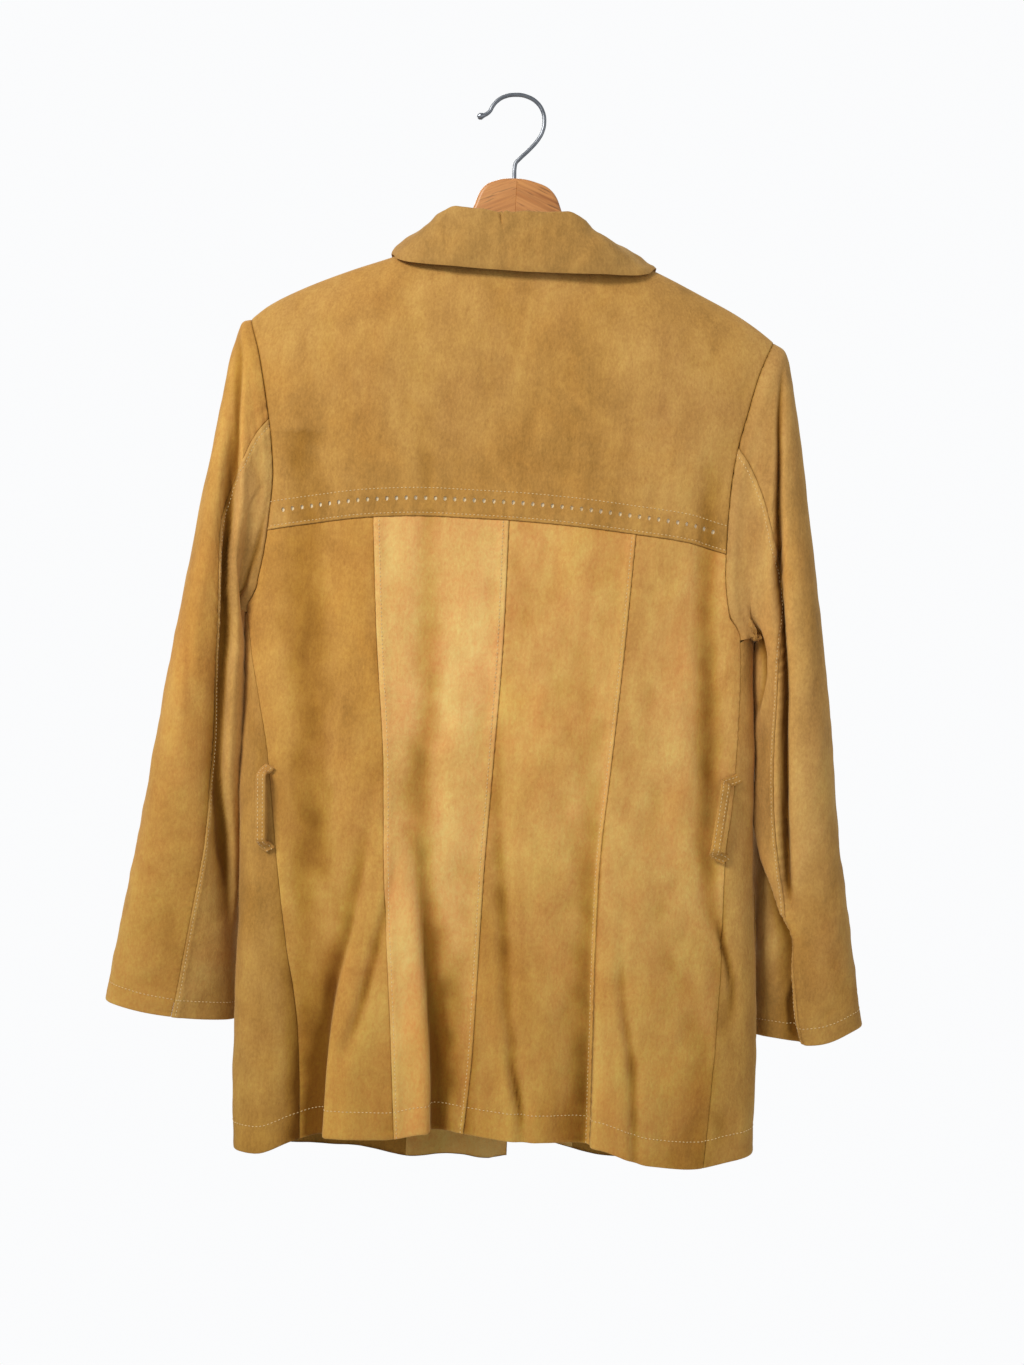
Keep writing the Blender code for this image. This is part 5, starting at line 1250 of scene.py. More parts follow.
def scatter_tree(kind):
    """Sets a stitch, or a punch for a small hole, on every point: it follows run and faces out."""
    tree = bpy.data.node_groups.new(kind, "GeometryNodeTree")
    face = tree.interface
    face.new_socket("Geometry", in_out="INPUT", socket_type="NodeSocketGeometry")
    names = ("Length", "Width", "Height")
    sizes = [face.new_socket(n, in_out="INPUT", socket_type="NodeSocketFloat") for n in names]
    finish = face.new_socket("Finish", in_out="INPUT", socket_type="NodeSocketMaterial")
    face.new_socket("Geometry", in_out="OUTPUT", socket_type="NodeSocketGeometry")
    add, link = tree.nodes.new, tree.links.new
    given, result = add("NodeGroupInput"), add("NodeGroupOutput")
    if kind == "Punched holes":
        shape = add("GeometryNodeMeshCylinder")
        shape.inputs["Vertices"].default_value = 16
        shape.inputs["Radius"].default_value = 0.5
        shape.inputs["Depth"].default_value = 1.0
    else:
        shape = add("GeometryNodeMeshIcoSphere")
        shape.inputs["Radius"].default_value = 0.5
        shape.inputs["Subdivisions"].default_value = 1
    soft = add("GeometryNodeSetShadeSmooth")
    soft.inputs["Shade Smooth"].default_value = kind != "Punched holes"
    link(shape.outputs["Mesh"], soft.inputs["Geometry"])
    size = add("ShaderNodeCombineXYZ")
    for name, socket in zip(names, ("X", "Y", "Z")):
        link(given.outputs[name], size.inputs[socket])
    turn = None
    for name, axis in (("run", "X"), ("out", "Z")):
        way = add("GeometryNodeInputNamedAttribute")
        way.data_type = "FLOAT_VECTOR"
        way.inputs["Name"].default_value = name
        align = add("FunctionNodeAlignRotationToVector")
        align.axis = axis
        link(way.outputs["Attribute"], align.inputs["Vector"])
        if turn is not None:
            align.pivot_axis = "X"
            link(turn, align.inputs["Rotation"])
        turn = align.outputs["Rotation"]
    spread_out = add("GeometryNodeInstanceOnPoints")
    link(given.outputs["Geometry"], spread_out.inputs["Points"])
    link(soft.outputs["Geometry"], spread_out.inputs["Instance"])
    link(turn, spread_out.inputs["Rotation"])
    link(size.outputs["Vector"], spread_out.inputs["Scale"])
    real, dress = add("GeometryNodeRealizeInstances"), add("GeometryNodeSetMaterial")
    link(spread_out.outputs["Instances"], real.inputs["Geometry"])
    link(real.outputs["Geometry"], dress.inputs["Geometry"])
    link(given.outputs["Finish"], dress.inputs["Material"])
    link(dress.outputs["Geometry"], result.inputs["Geometry"])
    return tree, [s.identifier for s in sizes] + [finish.identifier]


def scatter(name, kind, lines, size, material):
    """A mesh of stitches or punches at the places that lines give."""
    place, run, out = (np.concatenate([line[k] for line in lines]) for k in range(3))
    mesh = bpy.data.meshes.new(name)
    mesh.from_pydata(place.tolist(), [], [])
    for label, values in (("run", run), ("out", out)):
        attribute = mesh.attributes.new(label, "FLOAT_VECTOR", "POINT")
        attribute.data.foreach_set("vector", values.astype(np.float32).ravel())
    obj = linked(name, mesh)
    tree, sockets = scatter_tree(kind)
    nodes = obj.modifiers.new(kind, "NODES")
    nodes.node_group = tree
    for socket, value in zip(sockets, (*size, material)):
        nodes[socket] = value
    return baked(obj)


def baked(obj):
    """Turns what an object's modifiers make of it into its own mesh."""
    mesh = evaluated(obj)
    obj.modifiers.clear()
    obj.data = mesh
    return obj


def cut_holes(obj, cutter):
    """Takes one mesh out of another."""
    cut = obj.modifiers.new("Holes", "BOOLEAN")
    cut.operation, cut.solver, cut.object = "DIFFERENCE", "EXACT", cutter
    baked(obj)
    bpy.data.objects.remove(cutter)
    obj.data.set_sharp_from_angle(angle=np.radians(50))
    return obj


def curve_mesh(name, curve):
    """A flat or drawn curve, stood up in the plane of the hanger, as a mesh."""
    obj = linked(name + "_line", curve)
    mesh = evaluated(obj)
    bpy.data.objects.remove(obj)
    mesh.transform(Matrix.Rotation(np.pi / 2, 4, "X"))
    return linked(name, mesh)


def drawn(name, knots, closed=False):
    """A curve through knots of x, z and swell."""
    curve = bpy.data.curves.new(name, "CURVE")
    spline = curve.splines.new("BEZIER")
    spline.bezier_points.add(len(knots) - 1)
    spline.use_cyclic_u = closed
    for knot, (x, z, swell) in zip(spline.bezier_points, knots):
        knot.co, knot.radius = (x, z, 0), swell
        knot.handle_left_type = knot.handle_right_type = "AUTO"
    return curve


def wooden_body():
    """The shaped wood, with rounded edges and the fine groove where its two halves are mitred."""
    flat = drawn("wood", [(x, z, 1.0) for x, z in WOOD_TOP + WOOD_UNDER], True)
    flat.dimensions, flat.fill_mode = "2D", "BOTH"
    flat.extrude, flat.bevel_depth, flat.bevel_resolution = WOOD_HALF - WOOD_ROUND, WOOD_ROUND, 5
    flat.offset, flat.resolution_u = -WOOD_ROUND, 10
    wood = curve_mesh("hanger_wood", flat)
    weld = wood.modifiers.new("Weld", "WELD")
    weld.merge_threshold = 0.00001
    baked(wood)
    rods = []
    for side in (-1, 1):
        x, y = MITRE_X, side * (WOOD_HALF + 0.00012)
        ring = [(x + 0.00034, y), (x, y - side * 0.00042), (x - 0.00034, y), (x, y + side * 0.0008)]
        rods.append([(a, b, z) for z in (-0.170, -0.060) for a, b in ring])
    mesh = bpy.data.meshes.new("groove")
    faces = [(3, 2, 1, 0), (4, 5, 6, 7), (0, 1, 5, 4), (1, 2, 6, 5), (2, 3, 7, 6), (3, 0, 4, 7)]
    mesh.from_pydata(sum(rods, []), [], faces + [tuple(v + 8 for v in f) for f in faces])
    faced_out(mesh)
    cut_holes(wood, linked("groove", mesh))
    smoothed(wood.data, 35)
    return wood


def wire_hook():
    """The bent wire with its ball end."""
    beyond = [(BALL[0] + BALL[2] * dx, BALL[1] + BALL[2] * dz, swell) for dx, dz, swell in BALL_STEPS]
    wire = drawn("wire", [(x, z, 1.0) for x, z in HOOK] + beyond)
    wire.dimensions = "3D"
    wire.bevel_depth, wire.bevel_resolution, wire.use_fill_caps, wire.resolution_u = WIRE, 6, True, 14
    hook = curve_mesh("hanger_wire", wire)
    smoothed(hook.data, 50)
    return hook


def turned(name, profile, steps=48):
    """A round shape about the Y axis from its profile of (radius, y), closed at both ends."""
    turn = np.linspace(0, 2 * np.pi, steps, endpoint=False)
    ring = np.stack([np.cos(turn), 0 * turn, np.sin(turn)], axis=-1)
    points = [(0, profile[0][1], 0)]
    for radius, y in profile:
        points += (ring * radius + (0, y, 0)).tolist()
    points.append((0, profile[-1][1], 0))
    faces, last = [], len(points) - 1
    for k in range(steps):
        n = (k + 1) % steps
        faces.append((0, 1 + k, 1 + n))
        faces.append((last, last - steps + n, last - steps + k))
        for row in range(len(profile) - 1):
            a = 1 + row * steps
            faces.append((a + k, a + steps + k, a + steps + n, a + n))
    mesh = bpy.data.meshes.new(name)
    mesh.from_pydata(points, [], faces)
    faced_out(mesh)
    smoothed(mesh, 60)
    return linked(name, mesh)


# Half a button from its middle: radius and distance from its back, front face first.
BUTTON_PROFILE = (
    (0.003, 0.00175), (0.0056, 0.0018), (0.0068, 0.00205), (0.0076, 0.00275), (0.0084, 0.00325),
    (0.0092, 0.00335), (0.01, 0.003), (0.0105, 0.0022), (0.0105, 0.0014), (0.0098, 0.0005),
    (0.008, 0.0001), (0.004, 0.0),
)
BUTTON_HOLE, BUTTON_HOLE_OFF = 0.00085, 0.00170


def button_places():
    """The middle of each button's back on the cloth."""
    for z in BUTTONS:
        x = float(column(FRONT_EDGES, "left", z) + column(FRONT_EDGES, "right", z)) / 2
        u = front_u(x, np.array(z), -1)
        place = body(u, np.array(z), LAP)
        yield np.array([place[0], place[1] - BUTTON_REST, place[2]])


def button(name, at):
    """A four-hole button with a raised rim."""
    disc = turned(name, [(radius, -y) for radius, y in BUTTON_PROFILE])
    holes = [(sx * BUTTON_HOLE_OFF, -0.0016, sz * BUTTON_HOLE_OFF) for sx in (-1, 1) for sz in (-1, 1)]
    up, out = np.tile((0.0, 0.0, 1.0), (4, 1)), np.tile((0.0, -1.0, 0.0), (4, 1))
    size = (2 * BUTTON_HOLE, 2 * BUTTON_HOLE, 0.006)
    cut_holes(disc, scatter(name + "_punch", "Punched holes", [(np.array(holes), up, out)], size, None))
    disc.data.transform(Matrix.Translation(at))
    return disc


CLOTH_SLOT = "suede"
LAID = {}


def laid(name):
    """What has been worked out for a piece, worked out once."""
    if name not in LAID:
        if name == "back_yoke":
            LAID[name] = fine_yoke()
        elif name.startswith(("back", "front")):
            LAID[name] = fine_panel(name)
        elif name.startswith("loop"):
            LAID[name] = arm_loop(name[5:])
        else:
            _, side, piece = name.split("_")
            LAID[name] = fine_sleeve(laid("loop_" + side), piece)
    return LAID[name]


def keep(obj, slot, *nodes):
    """Fastens a finished piece to the frame, in place of its solids where it has any."""
    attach(obj, "root")
    if nodes:
        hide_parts(*nodes)
    return obj


def cloth(node, outer, inner, nap, material, flat, area=None, own=True):
    """One sheet of suede; own says that it takes the place of the solid of that name."""
    obj = shell(node + "_cloth", outer, inner, nap)
    obj.data.materials.append(material)
    keep(obj, CLOTH_SLOT, *((node,) if own else ()))
    return obj


class Paint:
    """A material's nodes, added one after another."""

    def __init__(self, name):
        self.material = bpy.data.materials.new(name)
        self.material.use_nodes = True
        self.tree = self.material.node_tree
        self.shader = self.tree.nodes["Principled BSDF"]
        self.place = self.tree.nodes.new("ShaderNodeTexCoord").outputs["Object"]

    def fill(self, node, given):
        for key, value in given.items():
            if isinstance(value, bpy.types.NodeSocket):
                self.tree.links.new(value, node.inputs[key])
            else:
                node.inputs[key].default_value = value
        return node

    def at(self, shift=(0, 0, 0), scale=(1, 1, 1), turn=(0, 0, 0)):
        node = self.tree.nodes.new("ShaderNodeMapping")
        return self.fill(node, {"Vector": self.place, "Location": shift, "Scale": scale,
                                "Rotation": turn}).outputs["Vector"]

    def noise(self, where, scale, detail=2, rough=0.55, distort=0.0):
        node = self.tree.nodes.new("ShaderNodeTexNoise")
        return self.fill(node, {"Vector": where, "Scale": scale, "Detail": detail, "Roughness": rough,
                                "Distortion": distort}).outputs["Fac"]

    def ramp(self, fac, *stops):
        node = self.fill(self.tree.nodes.new("ShaderNodeValToRGB"), {"Fac": fac})
        element = node.color_ramp.elements
        while len(element) < len(stops):
            element.new(0.5)
        for knob, (at, colour) in zip(element, stops):
            colour = (colour,) * 3 if isinstance(colour, float) else colour
            knob.position, knob.color = at, (*colour[:3], 1)
        return node.outputs["Color"]

    def mix(self, kind, a, b, amount=1.0):
        node = self.tree.nodes.new("ShaderNodeMix")
        node.data_type, node.blend_type = "RGBA", kind
        for key, value in (("Factor_Float", amount), ("A_Color", a), ("B_Color", b)):
            socket = next(s for s in node.inputs if s.identifier == key)
            if isinstance(value, bpy.types.NodeSocket):
                self.tree.links.new(value, socket)
            else:
                socket.default_value = value
        return next(s for s in node.outputs if s.identifier == "Result_Color")

    def sums(self, kind, *values):
        node = self.tree.nodes.new("ShaderNodeMath")
        node.operation = kind
        return self.fill(node, dict(enumerate(values))).outputs[0]

    def mark(self, name):
        node = self.tree.nodes.new("ShaderNodeAttribute")
        node.attribute_name = name
        return node.outputs["Fac"]

    def bump(self, height, far, strength=1.0, under=None):
        node = self.tree.nodes.new("ShaderNodeBump")
        given = {"Height": height, "Distance": far, "Strength": strength}
        if under is not None:
            given["Normal"] = under
        return self.fill(node, given).outputs["Normal"]

    def finish(self, colour, normal=None, **surface):
        self.fill(self.shader, {"Base Color": colour, **{k.replace("_", " "): v for k, v in surface.items()}})
        if normal is not None:
            self.fill(self.shader, {"Normal": normal})
        return self.material


def suede(name, colours, tone=1.0, warm=0.0, seed=0.0):
    """Brushed suede: mottled hide, strokes of nap, painted shade in folds and painted light on crests and on
    edges lightened by wear, painted shade towards the bottom, and a soft sheen.
    """
    paint = Paint(name)
    shift = (seed * 0.37, seed * 0.11, seed * 0.23)
    tint = np.array((1 + 0.05 * warm, 1.0, 1 - 0.16 * warm)) * tone
    dark, mid, light = (np.array(c[:3]) * tint for c in colours)
    hide = paint.noise(paint.at(shift, (1, 1, 0.70)), 5.0, 6, 0.60, 0.6)
    colour = paint.ramp(hide, (0.28, dark), (0.50, mid), (0.74, light))
    blotch = paint.noise(paint.at(shift, (1, 1, 0.8)), 26.0, 5, 0.65, 0.5)
    colour = paint.mix("OVERLAY", colour, paint.ramp(blotch, (0.28, 0.415), (0.5, 0.5), (0.72, 0.59)))
    strokes = paint.noise(paint.at(shift, (1, 1, 0.16)), 70.0, 4, 0.65, 0.25)
    colour = paint.mix("OVERLAY", colour, paint.ramp(strokes, (0.28, 0.44), (0.72, 0.56)))
    fibre = paint.noise(paint.at(shift, (1, 1, 0.55)), 520.0, 3, 0.7)
    colour = paint.mix("OVERLAY", colour, paint.ramp(fibre, (0.25, 0.41), (0.75, 0.59)))
    patch = paint.ramp(paint.noise(paint.at(shift), 7.0, 4, 0.6, 0.6), (0.50, 0.0), (0.72, 0.55))
    colour = paint.mix("MULTIPLY", colour, (1.0, 0.86, 0.66, 1), patch)
    # Painted shade and light: the nap mark darkens folds and seam crevices to a dark olive and lightens
    # crests and edges.
    nap = paint.sums("MULTIPLY_ADD", paint.mark("nap"), 0.5, 0.5)
    folds = paint.ramp(nap, (0.0, (0.32, 0.24, 0.09)), (0.28, (0.68, 0.64, 0.48)), (0.5, (0.86, 0.86, 0.86)),
                       (0.74, (0.95, 0.97, 0.98)), (1.0, (1.0, 1.0, 1.0)))
    colour = paint.mix("MULTIPLY", colour, folds)
    # Painted shade: darker and more olive towards the bottom, for the light falling off down the jacket.
    parts = paint.fill(paint.tree.nodes.new("ShaderNodeSeparateXYZ"), {"Vector": paint.at((0, 0, 0))})
    down = paint.sums("MULTIPLY_ADD", parts.outputs["Z"], -2.4, -1.18)
    colour = paint.mix("MULTIPLY", colour, paint.ramp(down, (0.0, 1.0), (1.0, (0.70, 0.67, 0.50))))
    height = paint.bump(paint.noise(paint.at(shift, (1, 1, 0.8)), 150.0, 4, 0.65), 0.0011, 0.55)
    height = paint.bump(fibre, 0.00035, 0.7, height)
    return paint.finish(colour, height, Roughness=0.95, Specular_IOR_Level=0.12, Sheen_Weight=0.22,
                        Sheen_Roughness=0.40, Sheen_Tint=(1.0, 0.82, 0.50, 1))


def thread(name, colour):
    """Twisted sewing thread, a little uneven."""
    paint = Paint(name)
    twist = paint.noise(paint.at(), 900.0, 2)
    shade = np.array(colour[:3])
    colour = paint.ramp(twist, (0.3, shade * 0.72), (0.7, shade * 1.08))
    return paint.finish(colour, paint.bump(twist, 0.0001, 0.6), Roughness=0.75, Sheen_Weight=0.2)


def beech(colour):
    """Lacquered beech: long grain that slopes away from the mitre, with its short dark flecks."""
    paint = Paint("Lacquered beech")
    shade = np.array(colour[:3])
    parts = paint.tree.nodes.new("ShaderNodeSeparateXYZ")
    paint.fill(parts, {"Vector": paint.at((-MITRE_X, 0, 0))})
    across = paint.sums("ABSOLUTE", parts.outputs["X"], 0.0)
    fall = paint.sums("MULTIPLY", across, GRAIN_SLOPE)
    level = paint.sums("ADD", parts.outputs["Z"], fall)
    side = paint.sums("MULTIPLY", paint.sums("SIGN", parts.outputs["X"], 0.0), 0.31)
    where = paint.tree.nodes.new("ShaderNodeCombineXYZ")
    paint.fill(where, {"X": paint.sums("ADD", across, side), "Y": parts.outputs["Y"], "Z": level})

    def along(scale, stretch, detail, distort=0.0):
        grow = paint.tree.nodes.new("ShaderNodeMapping")
        paint.fill(grow, {"Vector": where.outputs[0], "Scale": stretch})
        return paint.noise(grow.outputs["Vector"], scale, detail, 0.6, distort)

    rings = along(95.0, (0.10, 0.5, 1.0), 3, 0.5)
    colour = paint.ramp(rings, (0.32, shade * (0.62, 0.50, 0.38)), (0.44, shade * (0.88, 0.84, 0.78)),
                        (0.58, shade), (0.74, shade * (1.05, 1.08, 1.12)))
    fine = along(420.0, (0.05, 0.7, 1.0), 3)
    colour = paint.mix("OVERLAY", colour, paint.ramp(fine, (0.3, 0.40), (0.7, 0.58)))
    fleck = along(700.0, (0.10, 1.0, 1.0), 1)
    colour = paint.mix("MULTIPLY", colour, paint.ramp(fleck, (0.30, 0.60), (0.40, 1.0)))
    gloss = paint.ramp(along(60.0, (0.4, 1.0, 1.0), 2), (0.3, 0.34), (0.7, 0.50))
    return paint.finish(colour, paint.bump(fine, 0.00012, 0.35), Roughness=gloss, Coat_Weight=0.25,
                        Coat_Roughness=0.25)


def steel(colour):
    """Drawn steel wire with a thin plating, slightly scuffed."""
    paint = Paint("Plated wire")
    shade = np.array(colour[:3])
    scuff = paint.noise(paint.at(), 260.0, 4, 0.6, 0.4)
    colour = paint.ramp(scuff, (0.3, shade * 0.85), (0.7, shade * 1.10))
    rough = paint.ramp(paint.noise(paint.at((0.3, 0, 0)), 120.0, 3), (0.3, 0.24), (0.75, 0.46))
    return paint.finish(colour, paint.bump(scuff, 0.00002, 0.2), Roughness=rough, Metallic=1.0)


def horn(colour):
    """Polished horn: dark, with cloudy paler streaks."""
    paint = Paint("Polished horn")
    shade = np.array(colour[:3])
    streak = paint.noise(paint.at((0, 0, 0), (1, 0.6, 0.35), (0, 0.4, 0)), 190.0, 4, 0.6, 1.2)
    colour = paint.ramp(streak, (0.30, shade * 0.45), (0.52, shade), (0.72, shade * (3.4, 3.2, 2.8)))
    return paint.finish(colour, paint.bump(streak, 0.0001, 0.2), Roughness=0.28, Coat_Weight=0.3)


def shade_of(name, about, *rgb):
    """A colour that the panel shows."""
    return FloatVectorProperty(name=name, description=about, subtype="COLOR", size=4, min=0, max=1,
                               default=(*rgb, 1))


def length_of(name, about, metres):
    """A length that the panel shows."""
    return FloatProperty(name=name, description=about, subtype="DISTANCE", unit="LENGTH", min=0.0001,
                         max=0.1, precision=5, default=metres)


class JacketColours(bpy.types.PropertyGroup):
    """Colours of the jacket and its hanger."""

    dark: shade_of("Dark nap", "Suede brushed down", 0.465, 0.232, 0.052)
    mid: shade_of("Suede", "The suede's main colour", 0.610, 0.335, 0.096)
    light: shade_of("Light nap", "Suede brushed up", 0.735, 0.430, 0.145)
    stitch: shade_of("Thread", "The topstitching thread", 0.80, 0.57, 0.26)
    lining: shade_of("Underlay", "The pale strip behind the punched holes", 0.98, 0.84, 0.55)
    wood: shade_of("Beech", "The hanger's wood", 0.600, 0.258, 0.070)
    wire: shade_of("Wire", "The hook's plated wire", 0.23, 0.245, 0.27)
    button: shade_of("Horn", "The buttons", 0.10, 0.055, 0.030)


class JacketSizes(bpy.types.PropertyGroup):
    """Sizes of the small work on the jacket."""

    stitch_length: length_of("Stitch length", "Length of the thread seen in one stitch", 0.0022)
    stitch_pace: length_of("Stitch pace", "From one stitch to the next", 0.0033)
    thread_width: length_of("Thread width", "Thickness of the thread", 0.00078)
    hole_width: length_of("Hole width", "Width of one punched hole", 0.0028)
    hole_height: length_of("Hole height", "Height of one punched hole", 0.0038)
    hole_pace: length_of("Hole pace", "From one punched hole to the next", 0.0081)


class FinishedPiece:
    """What every operator of the jacket shares; each one makes its pieces in make."""

    bl_options = {"REGISTER", "UNDO"}

    def execute(self, context):
        self.make(context)
        return {"FINISHED"}


# How each panel's hide differs: tone, warmth and the place in the pattern. The tone is partly the panel's own
# and partly painted light: the centre back panels lighter where the light pools, the facings much lighter
# against the shade under the hem.
HIDE_TONES_AND_PAINTED_LIGHT = {
    "back_yoke": (0.9, 0.6, 1.0),
    "back_side_left": (1.1, 0.6, 2.0),
    "back_centre_left": (1.38, -0.6, 3.0),
    "back_centre_right": (1.26, 0.0, 4.0),
    "back_side_right": (1.14, 0.2, 5.0),
    "front_left": (0.9, 0.5, 6.0),
    "front_right": (0.98, 0.3, 7.0),
    "facing_left": (1.8, -1.8, 8.0),
    "facing_right": (1.8, -1.8, 9.0),
    "sleeve_left_upper": (1.04, 0.9, 10.0),
    "sleeve_left_under": (1.0, -0.2, 11.0),
    "sleeve_right_upper": (0.98, -0.1, 12.0),
    "sleeve_right_under": (0.95, -0.2, 13.0),
    "collar": (0.88, -0.2, 14.0),
    "belt_loop_left": (1.0, 0.2, 15.0),
    "belt_loop_right": (1.0, 0.2, 16.0),
    "pocket_left": (1.0, 0.2, 17.0),
    "pocket_right": (1.0, 0.2, 18.0),
}


def hide(name):
    """The suede of a piece."""
    c = bpy.context.scene.jacket_colours
    tone, warm, seed = HIDE_TONES_AND_PAINTED_LIGHT[name]
    return suede("Suede " + name.replace("_", " "), (c.dark, c.mid, c.light), tone, warm, seed)


def sew(name, lines):
    """Rows of topstitching as one piece."""
    scene = bpy.context.scene
    size = scene.jacket_sizes
    if "Sewing thread" not in bpy.data.materials:
        thread("Sewing thread", scene.jacket_colours.stitch)
    finish = bpy.data.materials["Sewing thread"]
    rows = [paced(points + normals * THREAD_STAND, normals, size.stitch_pace) for points, normals in lines]
    bits = (size.stitch_length, size.thread_width, size.thread_width * 0.8)
    return keep(scatter(name, "Stitches", rows, bits, finish), CLOTH_SLOT)


class JACKET_OT_body(FinishedPiece, bpy.types.Operator):
    """Cut and hang the back panels, the fronts and their facings"""

    bl_idname = "jacket.body"
    bl_label = "Body"

    def make(self, context):
        flats = {"back_side_left": (0.12, 0.53, 0.050), "back_centre_left": (0.12, 0.52, 0.044),
                 "back_centre_right": (0.11, 0.52, 0.052), "back_side_right": (0.11, 0.53, 0.050),
                 "front_left": (0.34, 0.79, 0.20), "front_right": (0.34, 0.79, 0.19)}
        rows = []
        for name, (wide, tall, area) in flats.items():
            out, normal, nap, (u, z) = laid(name)
            bottom = z - hem_level(u)
            thick = WALL + (HEM_WALL - WALL) * ease((HEM_STITCH + 0.001 - bottom) / 0.002)
            cloth(name, out, out - normal * thick[..., None], nap, hide(name), (wide, tall), area)
            rows.append(level_line(out, normal, bottom, HEM_STITCH))
            if panel(name)["last_edge"] != "under":
                rows.append((out[:, -1 - SEAM_COLUMN], normal[:, -1 - SEAM_COLUMN]))
            if panel(name)["first_edge"] == "welt":
                rows.append((out[:, SEAM_COLUMN], normal[:, SEAM_COLUMN]))
        sew("body_stitching", rows)
        for side in ("left", "right"):
            u, z = facing_grid(side)
            out, normal, _ = hung(u, z, LAP if side == "right" else 0.0)
            out[0, :, 2] += 0.0012
            face = out - normal * (WALL + SEAM)
            name = "facing_" + side
            cloth(name, face, face - normal * FACING_WALL, None, hide(name), (0.10, 0.70), 0.052)


class JACKET_OT_yoke(FinishedPiece, bpy.types.Operator):
    """Lay the yoke over the top of the back, punch its row of holes and back them"""

    bl_idname = "jacket.yoke"
    bl_label = "Yoke"

    def make(self, context):
        size, colours = context.scene.jacket_sizes, context.scene.jacket_colours
        out, normal, nap, (u, z) = laid("back_yoke")
        up = z - yoke_bottom(u, z)
        wall = WALL * (1 - 0.25 * np.exp(-(((up - HOLE_ROW) / 0.006) ** 4)))
        obj = shell("back_yoke_cloth", out, out - normal * wall[..., None], nap)
        obj.data.materials.append(hide("back_yoke"))
        row = level_line(out, normal, up, HOLE_ROW)
        place, run, face = paced(*row, size.hole_pace)
        inside = slice(1, -1)
        holes = [(place[inside], run[inside], face[inside])]
        punches = (size.hole_width, size.hole_height, 0.006)
        cut_holes(obj, scatter("punches", "Punched holes", holes, punches, obj.data.materials[0]))
        keep(obj, CLOTH_SLOT, "back_yoke")
        stitches = [level_line(out, normal, up, level) for level in YOKE_STITCHES]
        sew("yoke_stitching", stitches)
        band = np.argmin(np.abs(up[:, up.shape[1] // 2] - HOLE_ROW))
        strip = slice(max(band - 4, 0), band + 5)
        behind = out - normal * (wall + 0.00008)[..., None]
        back = suede("Pale underlay", (colours.lining,) * 3, 1.0, 0.0, 21.0)
        cloth("hole_backing", behind[strip], behind[strip] - normal[strip] * 0.0006, None, back,
              (0.42, 0.022), None, own=False)


class JACKET_OT_sleeves(FinishedPiece, bpy.types.Operator):
    """Set in the two sleeves, each of an upper and an under piece"""

    bl_idname = "jacket.sleeves"
    bl_label = "Sleeves"

    def make(self, context):
        for side in ("left", "right"):
            rows = []
            for piece, flat, area in (("upper", (0.24, 0.60), 0.090), ("under", (0.14, 0.51), 0.044)):
                name = f"sleeve_{side}_{piece}"
                out, normal, nap, (_, way) = laid(name)
                cloth(name, out, out - normal * WALL, nap, hide(name), flat, area)
                rows.append(level_line(out, normal, way * SLEEVE_LENGTH, SLEEVE_LENGTH - HEM_STITCH))
                if piece == "under":
                    rows.append((out[:, SEAM_COLUMN], normal[:, SEAM_COLUMN]))
            sew(f"sleeve_{side}_stitching", rows)


class JACKET_OT_collar(FinishedPiece, bpy.types.Operator):
    """Sew on the collar and turn it down"""

    bl_idname = "jacket.collar"
    bl_label = "Collar"

    def make(self, context):
        outer, inner, nap = fine_collar()
        cloth("collar", outer, inner, nap, hide("collar"), (0.46, 0.10), 0.040)


class JACKET_OT_trimmings(FinishedPiece, bpy.types.Operator):
    """Add the belt loops and the patch pockets"""

    bl_idname = "jacket.trimmings"
    bl_label = "Belt loops and pockets"

    def make(self, context):
        for spot in records(BELT_LOOPS):
            inner, outer = strap(spot)
            name = spot["name"]
            # The loop's mark is raised all over, painting it lighter, and more at its two edges for wear and
            # painted sheen.
            nap = np.tile(0.25 + 0.4 * np.abs(np.linspace(-1, 1, outer.shape[1])) ** 6, (len(outer), 1))
            cloth(name, outer, inner, nap, hide(name), (0.010, 0.080))
            normal = unit(outer - inner)
            sew(name + "_stitching", [(outer[:, k], normal[:, k]) for k in (2, -3)])
        for spot in records(POCKETS):
            outer, inner, nap, (mouth, normal) = pocket_sheets(spot)
            name = spot["name"]
            cloth(name, outer, inner, nap, hide(name), (0.145, 0.147))
            k = SEAM_COLUMN
            ring = [(slice(k, None), k), (slice(k, None), -1 - k), (k, slice(k, -k))]
            rows = [(outer[r, c], normal[r, c]) for r, c in ring]
            rows.append(level_line(outer, normal, -mouth, -HEM_STITCH))
            sew(name + "_stitching", rows)


class JACKET_OT_buttons(FinishedPiece, bpy.types.Operator):
    """Sew on the buttons"""

    bl_idname = "jacket.buttons"
    bl_label = "Buttons"

    def make(self, context):
        colours = context.scene.jacket_colours
        finish = horn(colours.button)
        for number, at in enumerate(button_places(), 1):
            obj = button(f"button_{number}_horn", at)
            obj.data.materials.clear()
            obj.data.materials.append(finish)
            keep(obj, "horn", f"button_{number}")
            sew_on(f"button_{number}_thread", at)


def sew_on(name, at):
    """The crossed threads through a button's holes."""
    off, y = BUTTON_HOLE_OFF, -0.00205
    lines = []
    for lift, (ax, az, bx, bz) in ((0.0, (-off, -off, off, off)), (0.0002, (-off, off, off, -off))):
        for shift in (-0.0002, 0.0002):
            a = np.array([ax + shift, y - lift, az - shift]) + at
            b = np.array([bx + shift, y - lift, bz - shift]) + at
            lines.append((np.array([(a + b) / 2]), np.array([unit(b - a)]), np.array([[0.0, -1.0, 0.0]])))
    size = (2.9 * off, 0.0005, 0.0004)
    return keep(scatter(name, "Stitches", lines, size, bpy.data.materials["Sewing thread"]), "horn")


